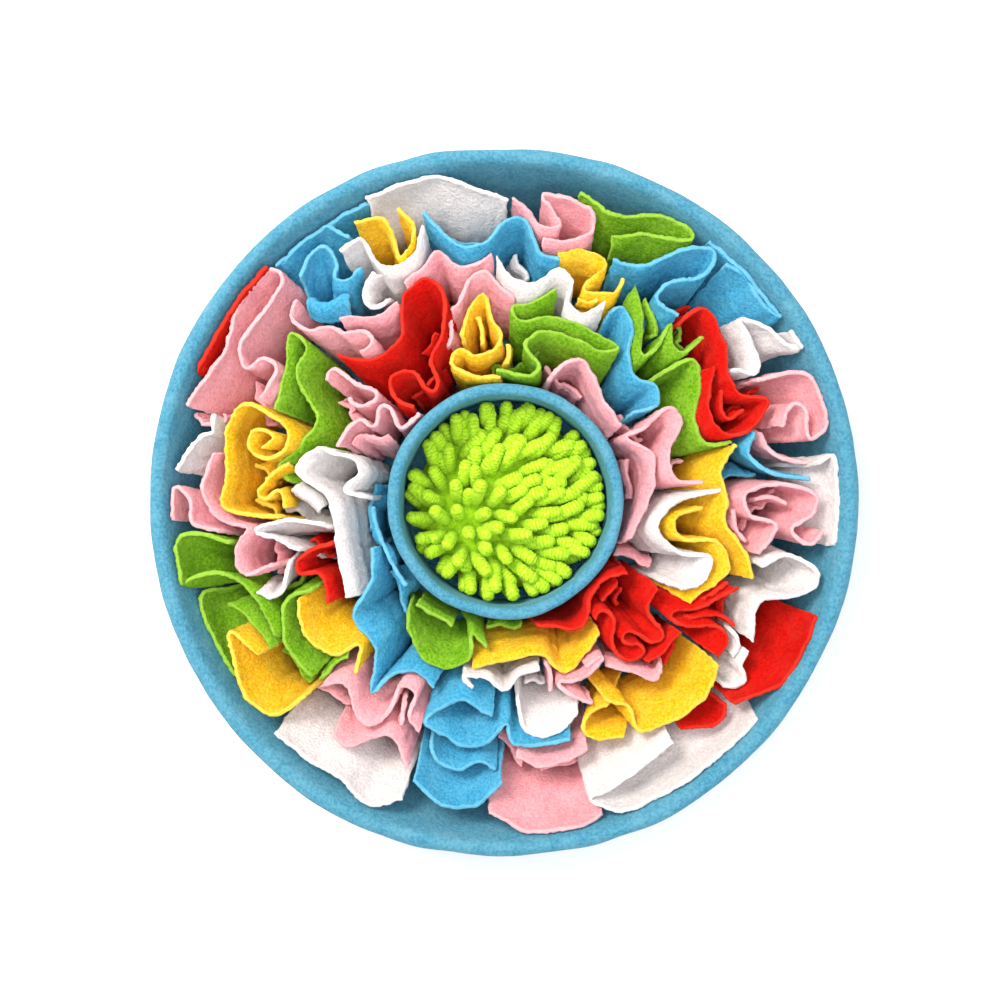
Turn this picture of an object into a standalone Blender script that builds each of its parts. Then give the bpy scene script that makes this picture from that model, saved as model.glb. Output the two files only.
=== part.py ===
"""Snuffle mat: a padded fleece tub with a cup in the middle and fleece strips standing all round it.

The tub is a flat padded base with a padded wall round it that leans outwards. A smaller upright
wall in the middle makes a cup, and the cup holds a domed pad of chenille fingers. The ground
between the cup and the wall is planted with rectangular fleece strips. Each strip is sewn to the
base along one long edge, and its other long edge stands free, gathered into folds.

All sizes are in millimetres and are turned into metres when a mesh is made. +Z is up, +Y is the
top of the mat as it is seen from above, and the origin is at the centre of the underside.
"""

import math
from typing import NamedTuple

import bpy
import numpy as np

# ---------------------------------------------------------------- driving sizes, in millimetres

GAP = 0.3  # clearance between pieces that touch

BASE_THICKNESS = 8.0
BASE_RADIUS = 186.0
BASE_EDGE_ROUND = 2.0

RIM_HEIGHT = 74.0  # the wall's inner face is straight up to here, and its top is rounded above
WALL_SECTION = (  # radius and height of the wall's section, round it from the outer foot
    (198.0, 0.0),
    (211.8, 35.0),
    (224.6, 66.0),
    (225.4, 71.5),
    (224.0, 76.8),
    (219.6, 80.4),
    (215.4, 79.0),
    (213.2, RIM_HEIGHT),
    (201.4, 40.0),
    (188.2, BASE_THICKNESS + 0.6),
    (BASE_RADIUS + GAP, BASE_THICKNESS - BASE_EDGE_ROUND),
    (BASE_RADIUS + GAP, 0.0),
)
WALL_INSIDE = WALL_SECTION[-2:6:-1]  # the inner face, from the base up to the rim
WALL_COLUMNS = 72
RIM_BULGES = (  # angle, anticlockwise from +X in degrees, and how far the rim stands out there
    (0, -0.5),
    (30, 0.0),
    (60, -0.5),
    (90, -1.4),
    (110, 2.0),
    (135, 2.5),
    (165, 1.1),
    (210, 0.3),
    (245, 1.7),
    (270, 0.3),
    (300, 0.8),
    (325, -1.3),
)

CUP_RADIUS = 75.0
CUP_THICKNESS = 7.6
CUP_TOP = 75.0
CUP_COLUMNS = 48

FLOOR = BASE_THICKNESS + GAP  # underside of everything that stands on the base

PAD_RADIUS = 59.0
PAD_EDGE_HEIGHT = 12.0  # from the base to the top of the pad's edge
PAD_CROWN_HEIGHT = 27.0  # from the base to the top of the pad's middle
PAD_COLUMNS = 32
FINGER_LENGTH = 21.0
FINGER_WIDTH = 6.6
FINGER_TIP_WIDTH = 4.4
FINGER_ROOT_DEPTH = 2.5  # how far a finger's root goes into the backing
FINGER_CENTRE = (-16.0, -17.0)  # the fingers lean away from here
FINGER_LEAN = math.radians(56)  # of a finger FINGER_FAN away from there; upright at the centre
FINGER_FAN = 62.0
FINGER_REACH = 64.0  # no finger's middle line comes further out than this
FINGER_RINGS = (  # radius of the ring and the number of fingers on it
    (0.0, 1),
    (10.5, 6),
    (21.0, 12),
    (31.5, 18),
    (41.5, 23),
    (50.5, 28),
)
FINGER_JITTER = 0.9
JITTER_SEED = 7

FLEECE_THICKNESS = 2.2
STRIP_FOOT = FLOOR + 0.6  # the sewn edge of a leaning strip, whose lower corner is nearer the base
STRIP_MIDDLE = 42.0  # the three heights at which the strips' lines are laid out
STRIP_REACH = 80.0
EDGE_MOST = 74.0  # the free edges stay below the rim
FOLD_POWER = 1.5  # above 1, a strip rises steeply from its seam and leans out near its free edge
LEAN_OUT = ((75, 150, 185, 215), (14, 14, 5, 0))  # at these radii, the lean outwards that all share
LEAN_BLEND = 12.0  # neighbours closer than this share each other's lean
FLARE_FROM = 140.0  # strips whose free edge is further out than this lean out towards the wall
FLARE = 0.6  # and share this much of their room at the foot
CROWD_TO = 100.0  # seams that would be nearer the cup than this are crowded
CROWD = 0.55  # to this much of their spacing
LINE_STEP = 2.5  # spacing of the points that the strips' lines are worked out on
COLUMN_STEP = 7.5  # spacing of the columns of a strip's mesh
STRIP_ROOM = 3.9  # least distance between the middles of two layers of fleece

# ---------------------------------------------------------------- colours, sRGB, with the roughness

FINISHES = {
    "tub": ("54ACD7", 0.95),
    "chenille": ("AEEA1E", 0.9),
    "blue": ("3FA3CE", 0.95),
    "green": ("76B729", 0.95),
    "yellow": ("FFC61E", 0.95),
    "red": ("E3170A", 0.95),
    "pink": ("F4A3B5", 0.95),
    "white": ("F3EFEF", 0.95),
}


class Strip(NamedTuple):
    """One fleece strip.

    cut is its width from the seam to the free edge. lean is where its seam lies from its free
    edge, across the floor. folds are the places of its free edge, one for each fold.
    """

    name: str
    colour: str
    cut: float
    lean: tuple
    folds: tuple


STRIPS = (
    # north-west
    Strip("blue_nw_1", "blue", 67, (8, -16),
          ((-88, 195), (-112, 184), (-136, 167), (-150, 152), (-138, 157), (-118, 173), (-97, 165))),
    Strip("white_nw", "white", 69, (8, -16),
          ((-104, 158), (-91, 167), (-84, 154), (-76, 149), (-64, 154), (-57, 164), (-53, 176))),
    Strip("pink_nw_1", "pink", 71, (12, -6),
          ((-197, 59), (-186, 77), (-174, 96), (-168, 114), (-161, 130), (-146, 144), (-139, 141),
           (-150, 121), (-166, 99), (-166, 84), (-153, 91), (-145, 85), (-156, 66))),
    Strip("pink_nw_2", "pink", 69, (12, -14),
          ((-133, 129), (-137, 117), (-124, 109), (-112, 112), (-102, 107), (-90, 109), (-84, 102),
           (-94, 96))),
    Strip("red_nw_1", "red", 73, (12, -4),
          ((-150, 146), (-160, 146), (-177, 125), (-189, 95), (-193, 80), (-187, 83))),
    Strip("green_nw", "green", 67, (14, -6),
          ((-148, 58), (-141, 82), (-137, 108), (-127, 99), (-134, 82), (-127, 66), (-120, 52),
           (-126, 42), (-136, 31), (-146, 21), (-139, 13))),
    Strip("red_nw_2", "red", 69, (8, -14),
          ((-106, 93), (-86, 90), (-68, 103), (-64, 133), (-51, 143), (-40, 134), (-40, 108),
           (-48, 90), (-43, 77), (-46, 69), (-52, 73), (-57, 82), (-65, 84), (-73, 78), (-73, 70),
           (-67, 63), (-58, 60))),
    Strip("pink_nw_3", "pink", 67, (12, -10),
          ((-115, 77), (-113, 84), (-108, 85), (-101, 79), (-93, 74), (-85, 72), (-80, 67),
           (-86, 62), (-97, 62), (-101, 67))),
    Strip("pink_nw_4", "pink", 67, (8, -6),
          ((-54, 56), (-62, 49), (-67, 46), (-70, 52), (-72, 58), (-76, 62), (-81, 59), (-81, 52),
           (-84, 46), (-88, 50), (-92, 53), (-98, 48), (-104, 41), (-106, 35))),
    Strip("yellow_nw", "yellow", 67, (0, -10),
          ((-94, 174), (-77, 178), (-71, 168), (-68, 154), (-59, 161), (-58, 176), (-68, 184))),
    # north
    Strip("white_n_1", "white", 75, (0, -26),
          ((-88, 190), (-73, 196), (-48, 201), (-22, 196), (2, 190))),
    Strip("blue_n", "blue", 71, (0, -14),
          ((-52, 183), (-40, 171), (-27, 161), (-12, 165), (0, 178), (12, 180), (18, 168),
           (22, 158), (35, 155))),
    Strip("pink_n_1", "pink", 67, (4, -14),
          ((-64, 139), (-52, 149), (-43, 161), (-33, 151), (-20, 151), (-8, 158))),
    Strip("white_n_2", "white", 69, (0, -14),
          ((-6, 157), (5, 142), (19, 139), (34, 149), (43, 143), (40, 128), (49, 120), (64, 127))),
    Strip("pink_n_3", "pink", 69, (-1, -10),
          ((3, 191), (14, 186), (24, 175), (36, 175), (31, 184), (22, 193), (40, 190), (55, 186),
           (56, 173), (40, 166), (24, 168))),
    Strip("yellow_n_1", "yellow", 65, (-2, -12),
          ((34, 157), (50, 161), (66, 152), (56, 144), (50, 136), (70, 133), (76, 143))),
    Strip("green_n_1", "green", 69, (2, -16),
          ((46, 191), (68, 180), (95, 178), (112, 170), (118, 163), (103, 165), (88, 169), (68, 168))),
    Strip("green_n_2", "green", 65, (0, -11),
          ((33, 137), (20, 128), (4, 125), (8, 116), (30, 118), (52, 111), (74, 98), (60, 96),
           (46, 103), (22, 109), (12, 99), (22, 88), (18, 80), (-6, 84))),
    Strip("yellow_n_2", "yellow", 65, (2, -9),
          ((-28, 106), (-22, 125), (-14, 134), (-9, 118), (-2, 104), (-9, 96), (-20, 92), (-28, 98),
           (-35, 90), (-28, 82), (-3, 79))),
    # north-east
    Strip("blue_ne_1", "blue", 71, (-4, -10),
          ((68, 154), (88, 150), (110, 158), (130, 156), (128, 144), (104, 139), (96, 129), (110, 118))),
    Strip("blue_ne_2", "blue", 69, (-10, -9),
          ((128, 163), (154, 143), (177, 118), (166, 118), (156, 128), (150, 140), (137, 147))),
    Strip("blue_ne_3", "blue", 63, (-7, -8),
          ((66, 121), (75, 125), (82, 111), (79, 94), (85, 78), (97, 74), (98, 62), (82, 57))),
    Strip("green_ne_1", "green", 67, (-8, -10),
          ((83, 138), (88, 118), (88, 93), (97, 98), (106, 115), (107, 101), (114, 95), (127, 106))),
    Strip("green_ne_2", "green", 67, (-16, -4),
          ((100, 82), (121, 91), (125, 70), (121, 50), (130, 36), (144, 38))),
    Strip("red_ne", "red", 73, (-12, -2),
          ((115, 118), (127, 124), (140, 101), (143, 78), (151, 68), (168, 64), (158, 47),
           (143, 42), (130, 54), (133, 86))),
    Strip("white_ne", "white", 73, (-10, 4),
          ((148, 84), (162, 81), (158, 99), (148, 116), (165, 108), (176, 97), (187, 96), (183, 110))),
    Strip("pink_ne", "pink", 73, (-8, 4),
          ((160, 77), (184, 80), (195, 68), (199, 46), (190, 38), (188, 58), (181, 62), (176, 47))),
    # east
    Strip("pink_e_1", "pink", 69, (-12, -4),
          ((125, 12), (108, 14), (104, 30), (113, 51), (104, 60), (88, 46), (76, 41), (90, 33),
           (96, 24), (93, 5), (80, -24))),
    Strip("white_e_1", "white", 71, (-20, 2),
          ((137, 7), (110, 0), (97, -17), (111, -33), (132, -36), (128, -51), (112, -57))),
    Strip("yellow_e_1", "yellow", 69, (-14, -3),
          ((148, 37), (138, 20), (141, 0), (140, -14), (154, -34), (158, -50))),
    Strip("yellow_e_2", "yellow", 67, (-12, 0),
          ((127, -4), (108, -11), (113, -24), (136, -26), (143, -43), (118, -65))),
    Strip("pink_e_2", "pink", 69, (-7, 4),
          ((161, -34), (173, -15), (156, -9), (152, 3), (172, 11), (195, 4), (194, -8), (182, -18),
           (192, -28), (199, -18))),
    Strip("white_e_2", "white", 73, (-10, 0),
          ((195, 24), (206, 28), (207, 4), (206, -28))),
    Strip("white_e_3", "white", 71, (-4, 8),
          ((163, -42), (180, -34), (196, -46), (186, -59), (162, -64), (158, -90))),
    # south-east
    Strip("red_se_1", "red", 73, (-14, 6),
          ((194, -72), (190, -92), (172, -112), (144, -127))),
    Strip("red_se_2", "red", 69, (-12, 14),
          ((57, -75), (61, -69), (67, -71), (70, -77), (68, -85), (69, -94), (75, -101), (84, -102),
           (90, -97), (87, -92), (79, -92), (74, -88), (76, -84), (82, -83), (88, -87), (95, -91),
           (101, -89), (101, -83), (94, -76), (91, -69), (93, -62), (98, -56))),
    Strip("red_se_3", "red", 69, (-16, 12),
          ((150, -55), (136, -62), (122, -69), (113, -70), (107, -71), (106, -75), (112, -79),
           (126, -80), (136, -80), (142, -85), (141, -93), (136, -100))),
    Strip("red_s", "red", 67, (-8, 10),
          ((78, -46), (66, -48), (58, -55), (53, -62), (53, -71), (50, -78), (43, -82), (32, -80),
           (21, -80))),
    Strip("yellow_se", "yellow", 71, (-16, 14),
          ((136, -104), (128, -123), (106, -140), (84, -146), (80, -132), (64, -127))),
    Strip("white_se", "white", 76, (-10, 26),
          ((106, -153), (84, -170), (64, -182), (52, -187), (74, -192), (94, -192), (112, -181),
           (138, -169), (160, -138))),
    # south
    Strip("yellow_s", "yellow", 65, (0, 16),
          ((-21, -107), (2, -101), (24, -98), (38, -111), (61, -84))),
    Strip("pink_s_2", "pink", 75, (0, 30),
          ((-10, -195), (18, -205), (42, -206), (60, -194))),
    Strip("blue_s_1", "blue", 69, (2, 16),
          ((-8, -138), (-29, -127), (-44, -134), (-52, -141), (-42, -148), (-25, -157), (-11, -154),
           (1, -141), (4, -155), (42, -152))),
    Strip("blue_s_2", "blue", 75, (2, 28),
          ((-58, -177), (-38, -191), (-18, -191), (-2, -179))),
    # south-west
    Strip("green_s", "green", 65, (0, 22),
          ((-63, -80), (-53, -100), (-36, -107), (-22, -100), (-22, -84), (-12, -93))),
    Strip("blue_sw", "blue", 67, (14, 8),
          ((-84, -30), (-86, -52), (-97, -74), (-83, -92), (-84, -108), (-86, -124), (-74, -112),
           (-57, -109), (-46, -119))),
    Strip("pink_sw", "pink", 69, (8, 16),
          ((-117, -118), (-102, -117), (-95, -137), (-84, -144), (-73, -132), (-67, -118),
           (-57, -123), (-62, -139), (-55, -148))),
    Strip("white_sw", "white", 75, (12, 26),
          ((-143, -143), (-122, -161), (-102, -172), (-87, -187), (-64, -186))),
    Strip("yellow_sw_1", "yellow", 69, (10, 20),
          ((-133, -62), (-127, -88), (-108, -98), (-93, -91), (-96, -110))),
    Strip("yellow_sw_2", "yellow", 71, (12, 6),
          ((-157, -98), (-174, -81), (-169, -101), (-160, -123), (-143, -134), (-128, -124))),
    Strip("green_sw", "green", 67, (10, 8),
          ((-124, -57), (-140, -64), (-140, -92), (-123, -112))),
    # west
    Strip("green_w", "green", 75, (14, -10),
          ((-176, -27), (-196, -20), (-208, -30), (-206, -52), (-184, -45), (-162, -58), (-146, -86))),
    Strip("yellow_w", "yellow", 73, (12, -2),
          ((-154, 34), (-147, 41), (-159, 46), (-163, 33), (-150, 27), (-139, 34), (-138, 45),
           (-166, 62), (-177, 46), (-177, 18), (-180, -3), (-146, -11))),
    Strip("pink_w_1", "pink", 71, (9, 4),
          ((-185, 31), (-191, 6), (-181, -13), (-164, -17), (-173, -32), (-167, -47), (-152, -41))),
    Strip("white_w_1", "white", 71, (10, -10),
          ((-114, -15), (-142, -12), (-161, -19), (-146, -24), (-132, -32))),
    Strip("white_w_2", "white", 71, (16, -2),
          ((-90, 3), (-104, 7), (-92, 18), (-98, 28), (-112, 31), (-117, 35), (-134, 20), (-113, 2),
           (-107, -30), (-101, -62))),
)


# ---------------------------------------------------------------- lines on the floor plan


def smooth_line(folds, step):
    """An even line through the folds, bent the least (a centripetal Catmull-Rom curve)."""
    knots = np.array(folds, float)
    knots = np.vstack([2 * knots[0] - knots[1], knots, 2 * knots[-1] - knots[-2]])
    points = []
    for p0, p1, p2, p3 in zip(knots, knots[1:], knots[2:], knots[3:]):
        t1 = math.dist(p0, p1) ** 0.5
        t2 = t1 + math.dist(p1, p2) ** 0.5
        t3 = t2 + math.dist(p2, p3) ** 0.5
        for t in np.linspace(t1, t2, 16, endpoint=False):
            a1 = p0 + (p1 - p0) * t / t1
            a2 = p1 + (p2 - p1) * (t - t1) / (t2 - t1)
            a3 = p2 + (p3 - p2) * (t - t2) / (t3 - t2)
            b1 = a1 + (a2 - a1) * t / t2
            b2 = a2 + (a3 - a2) * (t - t1) / (t3 - t1)
            points.append(b1 + (b2 - b1) * (t - t1) / (t2 - t1))
    points.append(knots[-2])
    return resample(np.array(points), step)


def resample(points, step):
    """The same line with evenly spaced points, about step apart."""
    along = np.concatenate([[0], np.cumsum(np.linalg.norm(np.diff(points, axis=0), axis=1))])
    even = np.linspace(0, along[-1], max(3, round(along[-1] / step) + 1))
    return np.column_stack([np.interp(even, along, points[:, axis]) for axis in (0, 1)])


def leans_at(points, strip):
    """How far the root lies from the free edge at each point.

    All strips lean outwards, and near ones share their own leans too. Near the wall they lean out
    with it, and near the cup their seams crowd together at its foot.
    """
    places = np.array([fold for other in STRIPS for fold in other.folds], float)
    leans = np.array([other.lean for other in STRIPS for _ in other.folds], float)
    own = np.array([1.0 if other is strip else 0.5 for other in STRIPS for _ in other.folds])
    away = ((points[:, None] - places[None]) ** 2).sum(2)
    weights = own * np.exp(-away / (2 * LEAN_BLEND**2)) + 1e-12
    top_radius = np.linalg.norm(points, axis=1, keepdims=True)
    outward = np.interp(top_radius, *LEAN_OUT)
    roots = points * (1 - outward / top_radius) + weights @ leans / weights.sum(1, keepdims=True)
    root_radius = np.linalg.norm(roots, axis=1, keepdims=True)
    most = np.where(top_radius > FLARE_FROM, FLARE_FROM + (top_radius - FLARE_FROM) * FLARE, 400.0)
    radius = np.minimum(root_radius, most)
    crowded = CROWD_TO - (CROWD_TO - radius) * CROWD
    return roots * np.where(radius < CROWD_TO, crowded, radius) / root_radius - points


def room_inside(height):
    """The radii between which a strip's middle line stays at this height."""
    wall = np.interp(height, [z for _, z in WALL_INSIDE], [r for r, _ in WALL_INSIDE])
    clearance = FLEECE_THICKNESS / 2 + 0.7
    return CUP_RADIUS + clearance, wall - clearance - 1.0


def spread(lines, height, passes):
    """The lines moved apart until neighbours, and each line's own folds, have room."""
    owner = np.concatenate([np.full(len(line), i) for i, line in enumerate(lines)])
    points = np.vstack(lines)
    starts = np.flatnonzero(owner[:-1] == owner[1:])
    inner, outer = room_inside(height)
    own_reach = round(3 * STRIP_ROOM / LINE_STEP)
    for turn in range(passes):
        if turn % 8 == 0:
            middles = (points[starts] + points[starts + 1]) / 2
            near = ((points[:, None] - middles[None]) ** 2).sum(2) < (STRIP_ROOM + 2 * LINE_STEP) ** 2
            same = owner[:, None] == owner[starts][None]
            near &= ~(same & (abs(np.arange(len(points))[:, None] - starts[None] - 0.5) < own_reach))
            who, which = np.nonzero(near)
            which = starts[which]
        side = points[which + 1] - points[which]
        share = ((points[who] - points[which]) * side).sum(1) / (side**2).sum(1)
        share = np.clip(share, 0, 1)[:, None]
        across = points[who] - points[which] - side * share
        distance = np.linalg.norm(across, axis=1, keepdims=True)
        push = across / np.maximum(distance, 1e-6) * np.maximum(STRIP_ROOM - distance, 0) * 0.35
        move = np.zeros_like(points)
        np.add.at(move, who, push)
        np.add.at(move, which, -push * (1 - share))
        np.add.at(move, which + 1, -push * share)
        size = np.linalg.norm(move, axis=1, keepdims=True)
        move *= np.minimum(1, 1.2 / np.maximum(size, 1e-6))
        for _ in range(2):
            joined = np.zeros_like(move)
            count = np.ones((len(move), 1))
            joined[starts] += move[starts + 1]
            joined[starts + 1] += move[starts]
            np.add.at(count, starts, 1)
            np.add.at(count, starts + 1, 1)
            move = (move + joined) / count
        points = points + move
        radius = np.linalg.norm(points, axis=1, keepdims=True)
        points *= np.clip(radius, inner, outer) / radius
    return [points[owner == i] for i in range(len(lines))]


def strip_levels():
    """For each strip its line at the foot, the middle and the reach, and its free edge's height."""
    tops = [smooth_line(strip.folds, LINE_STEP) for strip in STRIPS]
    leans = [leans_at(top, strip) for top, strip in zip(tops, STRIPS)]
    edges = []
    for strip, top, lean in zip(STRIPS, tops, leans):
        run = np.linalg.norm(lean, axis=1)
        edges.append(np.minimum(FLOOR + np.sqrt(strip.cut**2 - run**2), EDGE_MOST))
    reach = spread(tops, STRIP_REACH, 160)
    fold = (STRIP_MIDDLE / STRIP_REACH) ** FOLD_POWER
    middle = spread([top + lean * (1 - fold) for top, lean in zip(reach, leans)], STRIP_MIDDLE, 120)
    foot = spread([line + lean * fold for line, lean in zip(middle, leans)], STRIP_FOOT, 120)
    return list(zip(STRIPS, foot, middle, reach, edges))


# ---------------------------------------------------------------- meshes


def finish(name):
    """The Principled material of one finish, made once."""
    if name in bpy.data.materials:
        return bpy.data.materials[name]
    colour, roughness = FINISHES[name]
    material = bpy.data.materials.new(name)
    material.use_nodes = True
    shader = material.node_tree.nodes["Principled BSDF"]
    channels = [int(colour[i : i + 2], 16) / 255 for i in (0, 2, 4)]
    linear = [c / 12.92 if c <= 0.04045 else ((c + 0.055) / 1.055) ** 2.4 for c in channels]
    shader.inputs["Base Color"].default_value = (*linear, 1.0)
    shader.inputs["Roughness"].default_value = roughness
    material.diffuse_color = (*linear, 1.0)
    return material


def object_of(name, points, faces, material, collection, smooth=True):
    """One object made of points in millimetres and the faces between them."""
    mesh = bpy.data.meshes.new(name)
    mesh.from_pydata([tuple(c / 1000 for c in point) for point in points], [], faces)
    mesh.polygons.foreach_set("use_smooth", [smooth] * len(mesh.polygons))
    obj = bpy.data.objects.new(name, mesh)
    mesh.materials.append(finish(material))
    collection.objects.link(obj)
    return obj


def turned(name, profile, columns, material, collection):
    """A round piece: the profile, down its outer side from top to bottom, turned about Z."""
    mesh = bpy.data.meshes.new(name)
    points = [(r / 1000, 0.0, z / 1000) for r, z in profile]
    mesh.from_pydata(points, [(i, i + 1) for i in range(len(points) - 1)], [])
    obj = bpy.data.objects.new(name, mesh)
    mesh.materials.append(finish(material))
    collection.objects.link(obj)
    screw = obj.modifiers.new("turn", "SCREW")
    screw.steps = screw.render_steps = columns
    screw.use_merge_vertices = True
    screw.merge_threshold = 0.0001
    screw.use_smooth_shade = True
    return obj


def rim_bulge(angle):
    """How far the rim stands out at this angle, between the measured ones."""
    angles = [a for a, _ in RIM_BULGES] + [360]
    bulges = [b for _, b in RIM_BULGES] + [RIM_BULGES[0][1]]
    return float(np.interp(math.degrees(angle) % 360, angles, bulges))


def make_base(collection):
    """The padded disc that everything is sewn to."""
    r, t, e = BASE_RADIUS, BASE_THICKNESS, BASE_EDGE_ROUND
    profile = [(0, t), (r - 45, t), (r - e, t), (r, t - e), (r, e), (r - e, 0), (0, 0)]
    turned("tub_base", profile, WALL_COLUMNS, "tub", collection)


def make_wall(collection):
    """The padded wall round the base, lofted between sections that bulge by different amounts."""
    points = []
    for column in range(WALL_COLUMNS):
        angle = 2 * math.pi * column / WALL_COLUMNS
        bulge = rim_bulge(angle)
        for radius, height in WALL_SECTION:
            r = radius + bulge * min(1.0, height / RIM_HEIGHT)
            points.append((r * math.cos(angle), r * math.sin(angle), height))
    rows = len(WALL_SECTION)
    faces = []
    for column in range(WALL_COLUMNS):
        here, there = column * rows, (column + 1) % WALL_COLUMNS * rows
        for i in range(rows):
            j = (i + 1) % rows
            faces.append((here + i, there + i, there + j, here + j))
    object_of("tub_wall", points, faces, "tub", collection)


def make_cup(collection):
    """The upright padded wall of the cup, with a rounded top."""
    r, t, round_ = CUP_RADIUS, CUP_THICKNESS, CUP_THICKNESS / 2
    profile = []
    for i in range(7):
        turn = math.pi * i / 6
        profile.append((r - round_ - round_ * math.cos(turn), CUP_TOP - round_ + round_ * math.sin(turn)))
    profile += [(r, FLOOR), (r - t, FLOOR), profile[0]]
    turned("cup_wall", profile, CUP_COLUMNS, "tub", collection)


def dome_height(radius):
    """Top of the finger pad's backing at this distance from the middle of the cup."""
    share = min(1.0, radius / PAD_RADIUS)
    return FLOOR + PAD_EDGE_HEIGHT + (PAD_CROWN_HEIGHT - PAD_EDGE_HEIGHT) * (1 - share**2)


def finger_path(x, y):
    """Root, middle and tip of the finger whose root is at x, y."""
    away = np.array([x - FINGER_CENTRE[0], y - FINGER_CENTRE[1]])
    distance = float(np.linalg.norm(away))
    out = away / distance if distance > 0.1 else np.zeros(2)
    lean = FINGER_LEAN * min(1.0, distance / FINGER_FAN)
    while True:
        sections = [np.array([x, y, dome_height(math.hypot(x, y)) - FINGER_ROOT_DEPTH])]
        for share, steps in ((0.45, FINGER_ROOT_DEPTH + FINGER_LENGTH / 2), (1.25, FINGER_LENGTH / 2)):
            run, rise = math.sin(lean * share) * steps, math.cos(lean * share) * steps
            sections.append(sections[-1] + np.array([out[0] * run, out[1] * run, rise]))
        if math.hypot(sections[-1][0], sections[-1][1]) < FINGER_REACH or lean < 0.05:
            return sections
        lean -= 0.04


def make_fingers(collection):
    """All the chenille fingers, as one helper object that is joined to the backing."""
    jitter = np.random.default_rng(JITTER_SEED)
    points, faces = [], []
    for radius, count in FINGER_RINGS:
        for i in range(count):
            angle = 2 * math.pi * (i + 0.5 * (count % 2)) / count
            dx, dy = jitter.uniform(-FINGER_JITTER, FINGER_JITTER, 2)
            path = finger_path(radius * math.cos(angle) + dx, radius * math.sin(angle) + dy)
            turn = jitter.uniform(0, math.pi / 2)
            widths = (FINGER_WIDTH, FINGER_WIDTH, FINGER_TIP_WIDTH)
            first = len(points)
            for centre, width in zip(path, widths):
                direction = path[-1] - path[0]
                direction /= np.linalg.norm(direction)
                side = np.cross(direction, (math.cos(turn), math.sin(turn), 0.0))
                side /= np.linalg.norm(side)
                other = np.cross(direction, side)
                for a, b in ((1, 1), (-1, 1), (-1, -1), (1, -1)):
                    points.append(centre + (side * a + other * b) * width / 2)
            for row in range(2):
                for k in range(4):
                    a, b = first + row * 4 + k, first + row * 4 + (k + 1) % 4
                    faces.append((a, b, b + 4, a + 4))
            faces.append(tuple(first + k for k in (3, 2, 1, 0)))
            faces.append(tuple(first + 8 + k for k in range(4)))
    return object_of("fingers", points, faces, "chenille", collection)


def make_pad(collection, helpers):
    """The domed backing with its chenille fingers joined to it."""
    profile = [(0.0, dome_height(0))]
    for share in (0.25, 0.5, 0.75):
        profile.append((PAD_RADIUS * share, dome_height(PAD_RADIUS * share)))
    edge = dome_height(PAD_RADIUS)
    profile += [(PAD_RADIUS - 3, dome_height(PAD_RADIUS - 3) - 0.3), (PAD_RADIUS, edge - 3)]
    profile += [(PAD_RADIUS, FLOOR), (0.0, FLOOR)]
    backing = turned("chenille_pad", profile, PAD_COLUMNS, "chenille", collection)
    fingers = make_fingers(helpers)
    fingers.hide_render = True
    fingers.display_type = "WIRE"
    join = backing.modifiers.new("fingers", "BOOLEAN")
    join.operation = "UNION"
    join.solver = "EXACT"
    join.use_self = True  # near the middle a few fingers touch at their roots
    join.object = fingers


def make_strip(strip, foot, middle, reach, edge, collection):
    """One fleece strip: a sheet from its seam to its free edge, thickened to the fleece."""
    count = max(3, round((len(foot) - 1) * LINE_STEP / COLUMN_STEP) + 1)
    chosen = np.round(np.linspace(0, len(foot) - 1, count)).astype(int)
    share = ((edge - STRIP_MIDDLE) / (STRIP_REACH - STRIP_MIDDLE))[:, None]
    top = middle + (reach - middle) * share
    points = []
    for line, heights in ((foot, None), (middle, None), (top, edge)):
        for i in chosen:
            low = STRIP_FOOT if line is foot else STRIP_MIDDLE
            points.append((line[i][0], line[i][1], low if heights is None else heights[i]))
    faces = []
    for row in range(2):
        for i in range(count - 1):
            a = row * count + i
            faces.append((a, a + 1, a + 1 + count, a + count))
    obj = object_of(f"strip_{strip.name}", points, faces, strip.colour, collection)
    solidify = obj.modifiers.new("fleece", "SOLIDIFY")
    solidify.thickness = FLEECE_THICKNESS / 1000
    solidify.offset = 0.0


def main():
    """Clears the scene and makes every piece."""
    for obj in list(bpy.data.objects):
        bpy.data.objects.remove(obj)
    scene = bpy.context.scene
    parts = bpy.data.collections.new("snuffle_mat")
    helpers = bpy.data.collections.new("helpers")
    helpers.hide_render = True
    scene.collection.children.link(parts)
    scene.collection.children.link(helpers)
    make_base(parts)
    make_wall(parts)
    make_cup(parts)
    make_pad(parts, helpers)
    for strip, foot, middle, reach, edge in strip_levels():
        make_strip(strip, foot, middle, reach, edge, parts)


main()
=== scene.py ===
"""Looks of the snuffle mat: fleece strips, padded tub and cup, and a chenille finger pad.

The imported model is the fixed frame. Sizes here are in millimetres and are turned into metres when
a mesh is made. The strips' table and the way their lines are laid out are those of the part's
source, so that every dressed strip stands where its solid stands.
"""

import logging
import math
from dataclasses import dataclass, field
from enum import Enum
from typing import NamedTuple, Optional

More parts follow.
